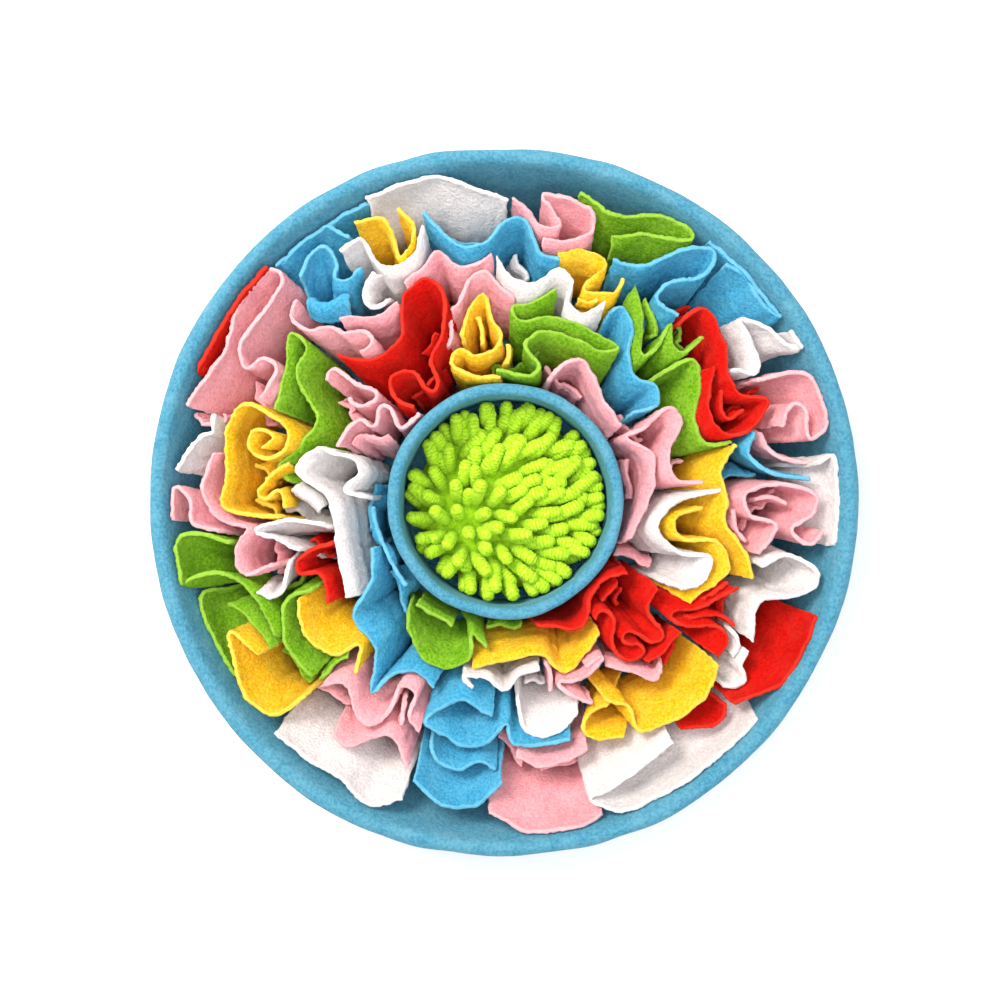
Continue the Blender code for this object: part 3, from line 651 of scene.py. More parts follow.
EXTRA_STRIPS = (  # further strips between those that have solids of their own
    # north-west
    Strip("blue_nw_2", B, 65, (0, -24),
          ((-130, 142), (-122, 156), (-113, 161), (-107, 153), (-110, 143), (-102, 141), (-91, 151))),
    Strip("blue_nw_3", B, 66, (2, -12), ((-128, 123), (-118, 117), (-109, 119), (-98, 121)), (1, -15)),
    Strip("white_nw_2", W, 62, (8, 4), ((-84, 146), (-90, 138), (-90, 128), (-84, 123), (-76, 127))),
    Strip("pink_nw_5", P, 62, (9, -18), ((-106, 117), (-96, 119), (-85, 119), (-75, 122), (-69, 130))),
    Strip("pink_nw_6", P, 60, (8, -10), ((-99, 37), (-94, 43), (-86, 42), (-80, 40), (-74, 43))),
    Strip("pink_nw_7", P, 62, (8, 8), ((-196, 57), (-192, 50), (-184, 47), (-175, 52))),
    # north
    Strip("pink_n_2", P, 63, (2, -24),
          ((-35, 122), (-28, 131), (-22, 144), (-12, 148), (-3, 138), (6, 131))),
    Strip("yellow_n_3", Y, 60, (0, -8), ((46, 131), (54, 128), (64, 131))),
    Strip("pink_n_4", P, 60, (4, -4), ((-36, 115), (-34, 107), (-37, 99))),
    Strip("yellow_n_4", Y, 58, (0, -4), ((-17, 120), (-15, 110), (-14, 101))),
    Strip("yellow_n_5", Y, 60, (-2, -4), ((1, 101), (3, 94), (1, 88))),
    # north-east
    Strip("pink_ne_2", P, 66, (-8, -11), ((30, 80), (38, 88), (50, 90), (57, 76), (65, 60), (74, 48))),
    Strip("green_ne_3", G, 58, (-4, -6), ((90, 131), (93, 121), (97, 113), (98, 106))),
    Strip("red_ne_2", R, 60, (-10, -2), ((152, 58), (143, 52), (138, 60), (139, 72))),
    # east
    Strip("blue_e", B, 65, (-12, 7), ((160, 44), (155, 30), (170, 18), (193, 14))),
    Strip("pink_e_3", P, 60, (-4, 2), ((146, -6), (148, -16), (154, -26))),
    Strip("pink_e_4", P, 60, (-4, 0), ((160, 1), (170, 3), (182, -2))),
    Strip("pink_e_5", P, 62, (-8, 9), ((164, 44), (169, 33), (179, 27), (193, 24))),
    # south-east
    Strip("red_se_4", R, 62, (-16, 8), ((144, -51), (133, -57), (121, -65))),
    Strip("red_se_5", R, 62, (-10, 14), ((112, -147), (124, -144), (135, -141), (142, -128))),
    Strip("red_se_7", R, 60, (-12, 8), ((118, -75), (128, -74), (140, -74), (147, -80))),
    Strip("red_se_8", R, 62, (-8, 6), ((92, -104), (100, -98), (107, -90), (112, -84))),
    Strip("red_s_2", R, 60, (-4, 5), ((73, -53), (67, -58), (62, -64))),
    Strip("white_e_6", W, 60, (-2, 6), ((147, -84), (150, -92), (146, -100))),
    Strip("white_se_2", W, 62, (-12, 9), ((156, -96), (150, -105), (154, -112), (147, -120), (139, -118))),
    Strip("pink_se", P, 60, (0, 10), ((64, -106), (75, -109), (86, -112), (97, -115), (100, -107))),
    Strip("yellow_se_2", Y, 64, (8, 18), ((66, -130), (58, -132), (50, -142), (51, -151), (62, -152), (76, -150))),
    # south
    Strip("pink_s_1", P, 65, (-6, 9),
          ((51, -106), (64, -99), (50, -113), (33, -115), (41, -123), (57, -130))),
    Strip("pink_s_4", P, 60, (0, 5), ((27, -104), (30, -112), (29, -121))),
    Strip("white_s_2", W, 67, (-2, 30), ((8, -130), (14, -149), (34, -149), (47, -135))),
    Strip("white_s_1", W, 65, (0, 10),
          ((-20, -119), (-28, -111), (-14, -111), (0, -121), (8, -112), (22, -107))),
    Strip("pink_s_3", P, 64, (0, 22), ((8, -163), (22, -170), (38, -167), (52, -158))),
    Strip("blue_s_3", B, 66, (2, 24), ((-48, -158), (-42, -168), (-30, -173), (-18, -166), (-6, -172))),
    Strip("green_s_2", G, 60, (2, 4), ((-56, -66), (-46, -73), (-34, -79))),
    # south-west
    Strip("pink_sw_2", P, 66, (8, 24),
          ((-110, -150), (-99, -157), (-87, -153), (-75, -149), (-68, -158), (-63, -172))),
    Strip("pink_sw_3", P, 60, (0, 8), ((-66, -146), (-66, -136), (-64, -128))),
    Strip("green_sw_2", G, 60, (0, 8), ((-118, -115), (-113, -109), (-107, -103), (-101, -99))),
    Strip("red_sw", R, 66, (16, 2),
          ((-110, -27), (-124, -31), (-134, -39), (-131, -47), (-122, -45), (-116, -49), (-114, -56), (-112, -64))),
    Strip("blue_w", B, 64, (-1, 0), ((-84, -4), (-82, -14), (-80, -23), (-75, -34), (-70, -44), (-63, -54))),
    # west
    Strip("green_w_2", G, 60, (12, 8), ((-190, -58), (-196, -68), (-190, -82), (-180, -97), (-170, -110))),
    Strip("green_w_3", G, 62, (4, 4), ((-176, -66), (-166, -73), (-157, -84), (-150, -94))),
    Strip("white_w_3", W, 71, (16, -5), ((-178, 50), (-190, 42), (-204, 19))),
    Strip("white_w_4", W, 66, (2, -1), ((-135, 10), (-127, 2), (-119, -7)), (-4, -5)),
    Strip("white_w_5", W, 67, (4, 10),
          ((-136, -39), (-140, -48), (-140, -55), (-146, -61), (-153, -62), (-160, -60))),
    Strip("yellow_w_2", Y, 66, (7, 1), ((-141, 22), (-150, 15), (-158, 4), (-152, 1), (-144, 8), (-140, -4))),
    Strip("pink_w_2", P, 71, (13, -4), ((-210, -12), (-207, 9), (-198, 3), (-196, -14), (-182, -20))),
)


class Standing(NamedTuple):
    """A strip with its lines on the floor plan at three heights, and its free edge's height."""

    strip: Strip
    foot: np.ndarray
    middle: np.ndarray
    reach: np.ndarray
    edge: np.ndarray


@dataclass
class StripLayout:
    """Lays out the strips' lines at three heights, as the part's source does."""

    thickness: float = 2.2
    foot_height: float = FLOOR + 0.6
    middle_height: float = 42.0
    reach_height: float = 80.0
    edge_most: float = 74.0
    fold_power: float = 1.5
    lean_out: tuple = ((75, 150, 185, 215), (14, 14, 5, 0))
    lean_blend: float = 12.0
    flare_from: float = 140.0
    flare: float = 0.6
    crowd_to: float = 100.0
    crowd: float = 0.55
    line_step: float = 2.5
    room: float = 3.9
    wall_inside: tuple = ((186.3, 0.0), (186.3, 6.0), (188.2, 8.6), (201.4, 40.0), (213.2, RIM_HEIGHT))
    everyone: tuple = field(default=STRIPS)

    def smooth_line(self, folds: tuple) -> np.ndarray:
        """An even line through the folds, bent the least (a centripetal Catmull-Rom curve).

        Args:
            folds: the places that the line passes through.

        Returns:
            Points about line_step apart.
        """
        knots = np.array(folds, float)
        knots = np.vstack([2 * knots[0] - knots[1], knots, 2 * knots[-1] - knots[-2]])
        points = []
        for p0, p1, p2, p3 in zip(knots, knots[1:], knots[2:], knots[3:]):
            t1 = math.dist(p0, p1) ** 0.5
            t2 = t1 + math.dist(p1, p2) ** 0.5
            t3 = t2 + math.dist(p2, p3) ** 0.5
            for t in np.linspace(t1, t2, 16, endpoint=False):
                a1 = p0 + (p1 - p0) * t / t1
                a2 = p1 + (p2 - p1) * (t - t1) / (t2 - t1)
                a3 = p2 + (p3 - p2) * (t - t2) / (t3 - t2)
                b1 = a1 + (a2 - a1) * t / t2
                b2 = a2 + (a3 - a2) * (t - t1) / (t3 - t1)
                points.append(b1 + (b2 - b1) * (t - t1) / (t2 - t1))
        points.append(knots[-2])
        return resample(np.array(points), self.line_step)

    def leans_at(self, points: np.ndarray, strip: Strip) -> np.ndarray:
        """How far the root lies from the free edge at each point.

        Args:
            points: the free edge's points.
            strip: the strip that they belong to.

        Returns:
            One offset across the floor for each point.
        """
        top_radius = np.linalg.norm(points, axis=1, keepdims=True)
        flared = self.flare_from + (top_radius - self.flare_from) * self.flare
        if strip not in self.everyone:
            roots = points + np.array(strip.lean, float)
            root_radius = np.linalg.norm(roots, axis=1, keepdims=True)
            return roots * np.minimum(1, np.maximum(flared, 150) / root_radius) - points
        places = np.array([fold for other in self.everyone for fold in other.folds], float)
        leans = np.array([other.lean for other in self.everyone for _ in other.folds], float)
        own = np.array([1.0 if other is strip else 0.5 for other in self.everyone for _ in other.folds])
        away = ((points[:, None] - places[None]) ** 2).sum(2)
        weights = own * np.exp(-away / (2 * self.lean_blend**2)) + 1e-12
        outward = np.interp(top_radius, *self.lean_out)
        roots = points * (1 - outward / top_radius) + weights @ leans / weights.sum(1, keepdims=True)
        root_radius = np.linalg.norm(roots, axis=1, keepdims=True)
        radius = np.minimum(root_radius, np.where(top_radius > self.flare_from, flared, 400.0))
        crowded = self.crowd_to - (self.crowd_to - radius) * self.crowd
        return roots * np.where(radius < self.crowd_to, crowded, radius) / root_radius - points

    def room_inside(self, height: float) -> tuple[float, float]:
        """The radii between which a strip's middle line stays at this height."""
        wall = np.interp(height, [z for _, z in self.wall_inside], [r for r, _ in self.wall_inside])
        clearance = self.thickness / 2 + 0.7
        return CUP_RADIUS + clearance, float(wall) - clearance - 1.0

    def spread(
        self, lines: list[np.ndarray], height: float, passes: int, fixed: int = 0
    ) -> list[np.ndarray]:
        """Moves the lines apart until neighbours, and each line's own folds, have room.

        Args:
            lines: the lines on the floor plan.
            height: the height that they are at.
            passes: how many small moves are made.
            fixed: how many of the lines, from the first on, stay where they are.

        Returns:
            The lines, moved.
        """
        owner = np.concatenate([np.full(len(line), i) for i, line in enumerate(lines)])
        held = (owner < fixed)[:, None]
        points = np.vstack(lines)
        starts = np.flatnonzero(owner[:-1] == owner[1:])
        inner, outer = self.room_inside(height)
        own_reach = round(3 * self.room / self.line_step)
        count = 1.0 + np.bincount(np.concatenate([starts, starts + 1]), minlength=len(points))[:, None]
        for turn in range(passes):
            if turn % 8 == 0:
                middles = (points[starts] + points[starts + 1]) / 2
                who, which = close_pairs(points, middles, self.room + 2 * self.line_step)
                which = starts[which]
                apart = (owner[who] != owner[which]) | (abs(who - which - 0.5) >= own_reach)
                apart &= (owner[who] >= fixed) | (owner[which] >= fixed)
                who, which = who[apart], which[apart]
            side = points[which + 1] - points[which]
            share = ((points[who] - points[which]) * side).sum(1) / (side**2).sum(1)
            share = np.clip(share, 0, 1)[:, None]
            across = points[who] - points[which] - side * share
            distance = np.linalg.norm(across, axis=1, keepdims=True)
            push = across / np.maximum(distance, 1e-6) * np.maximum(self.room - distance, 0) * 0.35
            taking = np.concatenate([who, which, which + 1])
            given = np.concatenate([push, -push * (1 - share), -push * share])
            move = summed(taking, given, len(points))
            size = np.linalg.norm(move, axis=1, keepdims=True)
            move *= np.minimum(1, 1.2 / np.maximum(size, 1e-6))
            for _ in range(2):
                joined = np.zeros_like(move)
                joined[starts] += move[starts + 1]
                joined[starts + 1] += move[starts]
                move = (move + joined) / count
            points = points + np.where(held, 0, move)
            radius = np.linalg.norm(points, axis=1, keepdims=True)
            points *= np.clip(radius, inner, outer) / radius
        return [points[owner == i] for i in range(len(lines))]

    def stand(self, strips: tuple, among: Optional[list[Standing]] = None) -> list[Standing]:
        """Stands the strips up.

        Args:
            strips: the strips to lay out together.
            among: strips that stand already and don't move.

        Returns:
            The strips with their lines, without those of among.
        """
        there = among or []
        tops = [self.smooth_line(strip.folds) - np.array(strip.flop) for strip in strips]
        leans = [self.leans_at(top, strip) for top, strip in zip(tops, strips)]
        edges = []
        for strip, lean in zip(strips, leans):
            run = np.linalg.norm(lean, axis=1)
            edges.append(np.minimum(FLOOR + np.sqrt(np.maximum(strip.cut**2 - run**2, 900)), self.edge_most))
        kept = len(there)
        reach = self.spread([s.reach for s in there] + tops, self.reach_height, 160, kept)[kept:]
        fold = (self.middle_height / self.reach_height) ** self.fold_power
        middle = self.spread(
            [s.middle for s in there] + [top + lean * (1 - fold) for top, lean in zip(reach, leans)],
            self.middle_height, 120, kept,
        )[kept:]
        foot = self.spread(
            [s.foot for s in there] + [line + lean * fold for line, lean in zip(middle, leans)],
            self.foot_height, 120, kept,
        )[kept:]
        return [Standing(*made) for made in zip(strips, foot, middle, reach, edges)]


def summed(places: np.ndarray, values: np.ndarray, size: int) -> np.ndarray:
    """Adds up values by place.

    Args:
        places: where each value goes.
        values: vectors, one for each place.
        size: how many places there are.

    Returns:
        The sum at each place.
    """
    sums = [np.bincount(places, values[:, k], minlength=size) for k in range(values.shape[1])]
    return np.column_stack(sums)


def close_pairs(points: np.ndarray, others: np.ndarray, reach: float) -> tuple[np.ndarray, np.ndarray]:
    """Finds each pair of a point and another that are closer than reach.

    Args:
        points: places, one to a row.
        others: places of the same dimension.
        reach: the distance within which they are close.

    Returns:
        The row of the point and the row of the other, for each pair.
    """
    low = np.minimum(points.min(0), others.min(0))
    cells = [np.floor((each - low) / reach).astype(np.int64) + 1 for each in (points, others)]
    span = np.maximum(cells[0].max(0), cells[1].max(0)) + 2
    scale = np.array([int(np.prod(span[k + 1 :])) for k in range(len(span))], np.int64)
    keys, other_keys = (cell @ scale for cell in cells)
    order = np.argsort(other_keys, kind="stable")
    sorted_keys = other_keys[order]
    found = []
    sides = np.array(np.meshgrid(*[(-1, 0, 1)] * len(span), indexing="ij")).reshape(len(span), -1).T
    for step in sides @ scale:
        first = np.searchsorted(sorted_keys, keys + step, "left")
        many = np.searchsorted(sorted_keys, keys + step, "right") - first
        one = np.repeat(np.arange(len(points)), many)
        two = order[np.arange(len(one)) + np.repeat(first - (np.cumsum(many) - many), many)]
        near = ((points[one] - others[two]) ** 2).sum(1) < reach**2
        found.append((one[near], two[near]))
    return np.concatenate([one for one, _ in found]), np.concatenate([two for _, two in found])


def resample(points: np.ndarray, step: float) -> np.ndarray:
    """The same line with evenly spaced points.

    Args:
        points: the line's points.
        step: about how far apart the new ones are.

    Returns:
        The new points.
    """
    along = np.concatenate([[0], np.cumsum(np.linalg.norm(np.diff(points, axis=0), axis=1))])
    even = np.linspace(0, along[-1], max(3, round(along[-1] / step) + 1))
    return np.column_stack([np.interp(even, along, points[:, axis]) for axis in range(points.shape[1])])


# ---------------------------------------------------------------- fleece strips


@dataclass
class Settling:
    """Lets the strips sink, buckle and come to rest against each other.

    The cloth is a net of points. In each pass the points sink a little, then the threads of the
    net draw back to their lengths, folds resist, and layers that are too close push apart. The
    seams stay where they are sewn, and the free edges are drawn back over their places.
    """

    passes: int = 120
    contact: float = 3.7
    sink: float = 0.03
    anchor: float = 0.16
    drop: float = 5.0
    slack: float = 1.03
    across_grip: float = 0.35
    up_grip: float = 0.4
    fold_grip: float = 0.25
    bend_grip: float = 0.3
    bend_over: tuple = (2, 4)  # rows
    push: float = 0.22
    step_most: float = 0.7
    wall_inside: tuple = ((8, 40, 74, 90), (187.0, 201.0, 213.0, 219.0))  # heights, and radii there
    wall_room: float = 1.9
    cup_room: float = 2.2

    def settle(self, sheets: list[np.ndarray], cuts: list[float]) -> list[np.ndarray]:
        """Settles all the sheets together.

        Args:
            sheets: their middle surfaces, with the same number of rows each.
            cuts: the width of each strip from seam to free edge.

        Returns:
            The surfaces after settling.
        """
        net = np.concatenate(sheets, axis=1)
        rows, columns = net.shape[:2]
        owner = np.concatenate([np.full(sheet.shape[1], i) for i, sheet in enumerate(sheets)])
        start = net.copy()
        next_to = (owner[1:] == owner[:-1]).astype(float)[None, :, None]
        next_but_one = (owner[2:] == owner[:-2]).astype(float)[None, :, None]
        edge_step = np.concatenate(
            [np.full(s.shape[1], np.linalg.norm(np.diff(s[-1], axis=0), axis=1).mean()) for s in sheets]
        )[:-1]
        grow = smooth_step(np.linspace(0, 1, rows), 0.0, 0.4)[:, None]
        across_now = np.linalg.norm(start[:, 1:] - start[:, :-1], axis=2)
        across_rest = across_now * (1 - grow) + edge_step[None] * self.slack * grow
        up_rest = np.array([cut / (rows - 1) for cut in cuts])[owner][None]
        up_now = np.linalg.norm(start[1:] - start[:-1], axis=2)
        up_rest = np.clip(up_rest, up_now * 0.96, up_now * 1.01)
        bend_across = np.linalg.norm(start[:, 2:] - start[:, :-2], axis=2)
        links = [
            (1, 1, across_rest, self.across_grip, next_to),
            (0, 1, up_rest, self.up_grip, 1.0),
            (1, 2, bend_across, self.fold_grip, next_but_one),
        ]
        for skip in self.bend_over:
            links.append((0, skip, np.linalg.norm(start[skip:] - start[:-skip], axis=2), self.bend_grip, 1.0))
        chosen = np.random.default_rng(5)
        lower = chosen.uniform(0.5, 1.0, len(sheets))[owner] * self.drop
        lower *= 1 - smooth_step(np.linalg.norm(start[-1, :, :2], axis=1), 180, 200)
        edge_height = start[-1, :, 2] - lower
        free = np.ones((rows, 1, 1))
        free[0] = 0.0
        free[1] = 0.5
        weight = smooth_step(np.linspace(0, 1, rows), 0.1, 0.9)[:, None]
        pairs = (np.empty(0, int), np.empty(0, int))
        for turn in range(self.passes):
            move = np.zeros_like(net)
            move[..., 2] -= self.sink * weight
            move[-1, :, :2] += (start[-1, :, :2] - net[-1, :, :2]) * self.anchor
            move[-1, :, 2] += (edge_height - net[-1, :, 2]) * self.anchor * 0.8
            for link in links:
                self.draw(move, net, *link)
            if turn % 5 == 0:
                pairs = self.layers_close(net, owner)
            self.part(move, net, pairs)
            size = np.linalg.norm(move, axis=2, keepdims=True)
            net = net + move * free * np.minimum(1, self.step_most / np.maximum(size, 1e-9))
            self.keep_inside(net)
        return [net[:, owner == i] for i in range(len(sheets))]

    @staticmethod
    def draw(
        move: np.ndarray, net: np.ndarray, axis: int, skip: int, rest: np.ndarray, grip: float,
        joined: np.ndarray | float,
    ) -> None:
        """Draws pairs of points of the net towards their distance at rest.

        Args:
            move: the moves of this pass, which are added to.
            net: the points.
            axis: 0 for pairs one above the other, 1 for pairs side by side.
            skip: how many rows or columns they are apart.
            rest: the distances at rest.
            grip: the share of the difference that is made up.
            joined: 1 where both ends are on the same strip, else 0.
        """
        every = (slice(None),) * axis
        here, there = every + (slice(skip, None),), every + (slice(None, -skip),)
        apart = net[here] - net[there]
        length = np.linalg.norm(apart, axis=2, keepdims=True)
        pull = apart * ((length - rest[..., None]) / np.maximum(length, 1e-6)) * (grip / 2) * joined
        move[here] -= pull
        move[there] += pull

    def layers_close(self, net: np.ndarray, owner: np.ndarray) -> tuple[np.ndarray, np.ndarray]:
        """Finds points of different layers that are close.

        Args:
            net: the points.
            owner: the strip that each column belongs to.

        Returns:
            The numbers of the points at both ends.
        """
        columns = net.shape[1]
        points = net.reshape(-1, 3)
        one, two = close_pairs(points, points, self.contact + 1.2)
        apart = owner[one % columns] != owner[two % columns]
        apart |= (abs(one // columns - two // columns) > 2) | (abs(one % columns - two % columns) > 2)
        apart &= one < two
        return one[apart], two[apart]

    def part(self, move: np.ndarray, net: np.ndarray, pairs: tuple[np.ndarray, np.ndarray]) -> None:
        """Pushes layers apart where they are closer than the fleece is thick.

        Args:
            move: the moves of this pass, which are added to.
            net: the points.
            pairs: the numbers of the close points.
        """
        points = net.reshape(-1, 3)
        one, two = pairs
        apart = points[one] - points[two]
        distance = np.sqrt((apart**2).sum(1))
        short = distance < self.contact
        one, two, apart, distance = one[short], two[short], apart[short], distance[short]
        push = apart * ((self.contact - distance) / np.maximum(distance, 1e-6) * self.push)[:, None]
        total = summed(np.concatenate([one, two]), np.concatenate([push, -push]), len(points))
        move += total.reshape(net.shape)

    def keep_inside(self, net: np.ndarray) -> None:
        """Keeps the points above the base, outside the cup and inside the wall."""
        radius = np.maximum(np.linalg.norm(net[..., :2], axis=2), 1e-6)
        height = net[..., 2]
        wall = np.interp(height, *self.wall_inside) - self.wall_room
        cup = np.where(height < CUP_TOP - 1, CUP_RADIUS + self.cup_room, 0.0)
        net[..., :2] *= (np.clip(radius, cup, wall) / radius)[..., None]
        net[..., 2] = np.maximum(height, FLOOR + 0.6)


@dataclass
class TuckedStrips:
    """Short strips tucked in wherever the floor would still show between the others."""

    cell: float = 3.0
    clump: float = 8.0
    reach: float = 17.0
    least: int = 6
    most: int = 40
    cut: float = 44.0
    half_length: tuple = (7, 17)
    width: tuple = (6, 18)
    bends: tuple = ((-1.0, 0.8), (-0.2, -1.2), (0.5, 1.4), (1.0, 0.2))  # share of the length, and out

    def open_places(self, sheets: list[np.ndarray]) -> np.ndarray:
        """The places of the floor that no sheet stands over.

        Args:
            sheets: the middle surfaces that stand already.

        Returns:
            Places about one cell apart.
        """
        span = np.arange(-189, 189, self.cell)
        grid = np.stack(np.meshgrid(span, span, indexing="ij"), -1) + self.cell / 2
        covered = np.zeros(grid.shape[:2], bool)
        for sheet in sheets:
            for share in np.linspace(0, 1, 8):
                between = sheet[:-1] * (1 - share) + sheet[1:] * share
                for other in np.linspace(0, 1, 5):
                    fine = between[:, :-1, :2] * (1 - other) + between[:, 1:, :2] * other
                    at = np.clip(((fine + 189) / self.cell).astype(int), 0, len(span) - 1)
                    covered[at[..., 0], at[..., 1]] = True
        radius = np.linalg.norm(grid, axis=2)
        return grid[~covered & (radius > CUP_RADIUS + 4) & (radius < BASE_RADIUS - 4)]

    def find(self, sheets: list[np.ndarray], strips: list[Strip]) -> tuple[Strip, ...]:
        """Finds where strips are tucked in, the widest gaps first.

        Args:
            sheets: the middle surfaces that stand already.
            strips: the strips that they belong to.

        Returns:
            The further strips, each in the colour of its nearest neighbour.
        """
        places = self.open_places(sheets)
        tops = np.vstack([sheet[-1, :, :2] for sheet in sheets])
        owner = np.concatenate([np.full(sheet.shape[1], i) for i, sheet in enumerate(sheets)])
        found: list[Strip] = []
        while len(places) and len(found) < self.most:
            near = ((places[:, None] - places[None]) ** 2).sum(2) < self.clump**2
            best = int(near.sum(1).argmax())
            if near[best].sum() < self.least:
                break
            taken = ((places - places[best]) ** 2).sum(1) < self.reach**2
            middle = places[taken].mean(0)
            axes = np.linalg.svd(places[taken] - middle)[2]
            along, across = ((places[taken] - middle) @ axis for axis in axes)
            half = float(np.clip(np.abs(along).max(), *self.half_length))
            wide = float(np.clip(np.ptp(across), *self.width))
            outward = axes[1] * (1 if axes[1] @ middle > 0 else -1)
            folds = tuple(
                tuple(float(v) for v in middle + axes[0] * half * t + outward * (wide * 0.3 + bend))
                for t, bend in self.bends
            )
            colour = strips[owner[((tops - middle) ** 2).sum(1).argmin()]].colour
            lean = tuple(float(v) for v in -outward * wide * 0.6)
            found.append(Strip(f"tuck_{len(found) + 1:02d}", colour, self.cut, lean, folds))
            places = places[~taken]
        return tuple(found)


@dataclass
class FleeceStrips:
    """All the strips: their sheets, how they settle against each other, and their pieces."""

    materials: dict
    layout: StripLayout = field(default_factory=StripLayout)
    tucks: TuckedStrips = field(default_factory=TuckedStrips)
    settling: Settling = field(default_factory=Settling)
    rows: int = 14
    column_step: float = 4.0
    thickness: float = 2.9
    droop: float = 9.0
    flare: float = 0.12  # how much more the upper part of a strip lies over than its solid
    cut_waver: tuple = (0.9, 0.7)  # how far the scissors strayed on the free edge and on the ends
    outward: float = 0.28  # how much further out the free edges beside the wall lie than their lines
    waver: Ripple = field(default_factory=lambda: Ripple(11, 31))
    nap: float = 1.9  # how far the clumps of nap stand up and down together, in millimetres
    nap_size: float = 2.4

    def sheet_of(self, standing: Standing) -> np.ndarray:
        """The sheet's middle surface as it stands.

        Args:
            standing: the strip's lines.

        Returns:
            Points in rows from the seam to the free edge, in millimetres.
        """
        count = max(4, round((len(standing.foot) - 1) * self.layout.line_step / self.column_step) + 1)
        at = np.linspace(0, len(standing.foot) - 1, count)
        low = np.arange(len(standing.foot))

        def along(values: np.ndarray) -> np.ndarray:
            """The values at the sheet's columns."""
            if values.ndim == 1:
                return np.interp(at, low, values)
            return np.column_stack([np.interp(at, low, values[:, k]) for k in range(values.shape[1])])

        foot, middle, reach, edge = map(along, (standing.foot, standing.middle, standing.reach, standing.edge))
        heights = np.array([self.layout.foot_height, self.layout.middle_height, self.layout.reach_height])
        middle = middle + (foot - reach) * self.flare
        flop = np.array(standing.strip.flop, float)
        columns = []
        for i in range(count):
            z = np.linspace(heights[0], edge[i], 40)
            xy = np.zeros((len(z), 2))
            for line, own, one, other in ((foot, 0, 1, 2), (middle, 1, 0, 2), (reach, 2, 0, 1)):
                share = (z - heights[one]) * (z - heights[other])
                share /= (heights[own] - heights[one]) * (heights[own] - heights[other])
                xy += share[:, None] * line[i]
            share = (z - z[0]) / (z[-1] - z[0])
            outward = 1 + self.outward * max(0.0, float(np.linalg.norm(reach[i])) - 185) / 185
            if not any(flop):
                xy += (reach[i] * outward - xy[-1]) * (share**3)[:, None]
            path = np.column_stack([xy, z])
            if any(flop):
                over = np.linspace(0, 1, 16)[1:, None]
                path = np.vstack([path, path[-1] + np.hstack([over * flop, -self.droop * over**1.7])])
                for _ in range(8):
                    path[1:-1] = (path[:-2] + 2 * path[1:-1] + path[2:]) / 4
            steps = np.concatenate([[0], np.cumsum(np.linalg.norm(np.diff(path, axis=0), axis=1))])
            even = np.linspace(0, steps[-1], self.rows)
            columns.append(np.column_stack([np.interp(even, steps, path[:, k]) for k in range(3)]))
        return np.stack(columns, axis=1)

    def sheets(self) -> tuple[list[np.ndarray], list[Strip]]:
        """Every strip's middle surface after it has settled.

        Returns:
            The surfaces and the strips that they belong to.
        """
        standing = self.layout.stand(STRIPS)
        standing += self.layout.stand(EXTRA_STRIPS, standing)
        tucked = self.tucks.find([self.sheet_of(made) for made in standing], [made.strip for made in standing])
        standing += self.layout.stand(tucked, standing)
        sheets = [self.sheet_of(made) for made in standing]
        strips = [made.strip for made in standing]
        sheets = self.settling.settle(sheets, [self.width_of(strip) for strip in strips])
        return sheets, strips

    @staticmethod
    def width_of(strip: Strip) -> float:
        """The strip's width as it was cut, in millimetres."""
        return strip.cut + math.hypot(*strip.flop)

    def clumps(self) -> bpy.types.Texture:
        """The unevenness of the nap, which the strips' surfaces take as real relief.

        Returns:
            The texture, made the first time.
        """
        made = bpy.data.textures.get("nap_clumps")
        if made is None:
            made = bpy.data.textures.new("nap_clumps", "CLOUDS")
            made.noise_scale = self.nap_size * MM
            made.noise_depth = 1
        return made

    def build(self) -> list[bpy.types.Object]:
        """Makes every strip's piece.

        Returns:
            The pieces.
        """
        return [self.dress(strip, sheet, strip not in STRIPS) for sheet, strip in zip(*self.sheets())]

    def cut_by_hand(self, sheet: np.ndarray) -> np.ndarray:
        """The sheet with the small unevenness of edges that were cut with scissors.

        Args:
            sheet: its middle surface.

        Returns:
            The surface, with its free edge and its ends moved a little along the cloth.
        """
        sheet = sheet.copy()
        waver = self.waver.at(sheet)
        up = sheet[-1] - sheet[-2]
        up /= np.linalg.norm(up, axis=1, keepdims=True)
        sheet[-1] += up * waver[-1][:, None] * self.cut_waver[0]
        for end, inner in ((0, 1), (-1, -2)):
            out = sheet[:, end] - sheet[:, inner]
            out /= np.linalg.norm(out, axis=1, keepdims=True)
            sheet[:, end] += out * waver[:, end][:, None] * self.cut_waver[1]
        return sheet

    @staticmethod
    def with_hem(sheet: np.ndarray, inside: float = 1.0) -> np.ndarray:
        """The sheet with a further line of points just inside its free edge and its ends.

        Args:
            sheet: its middle surface.
            inside: how far inside the line is, in millimetres.

        Returns:
            The surface, whose corners and edges stay crisp when it is subdivided.
        """
        def beside(edge: np.ndarray, inner: np.ndarray) -> np.ndarray:
            """The line of points just inside an edge."""
            in_from = inner - edge
            return edge + in_from * (inside / np.maximum(np.linalg.norm(in_from, axis=1, keepdims=True), inside * 2))

        sheet = np.concatenate([sheet[:-1], beside(sheet[-1], sheet[-2])[None], sheet[-1:]])
        left, right = beside(sheet[:, 0], sheet[:, 1]), beside(sheet[:, -1], sheet[:, -2])
        return np.concatenate([sheet[:, :1], left[:, None], sheet[:, 1:-1], right[:, None], sheet[:, -1:]], axis=1)

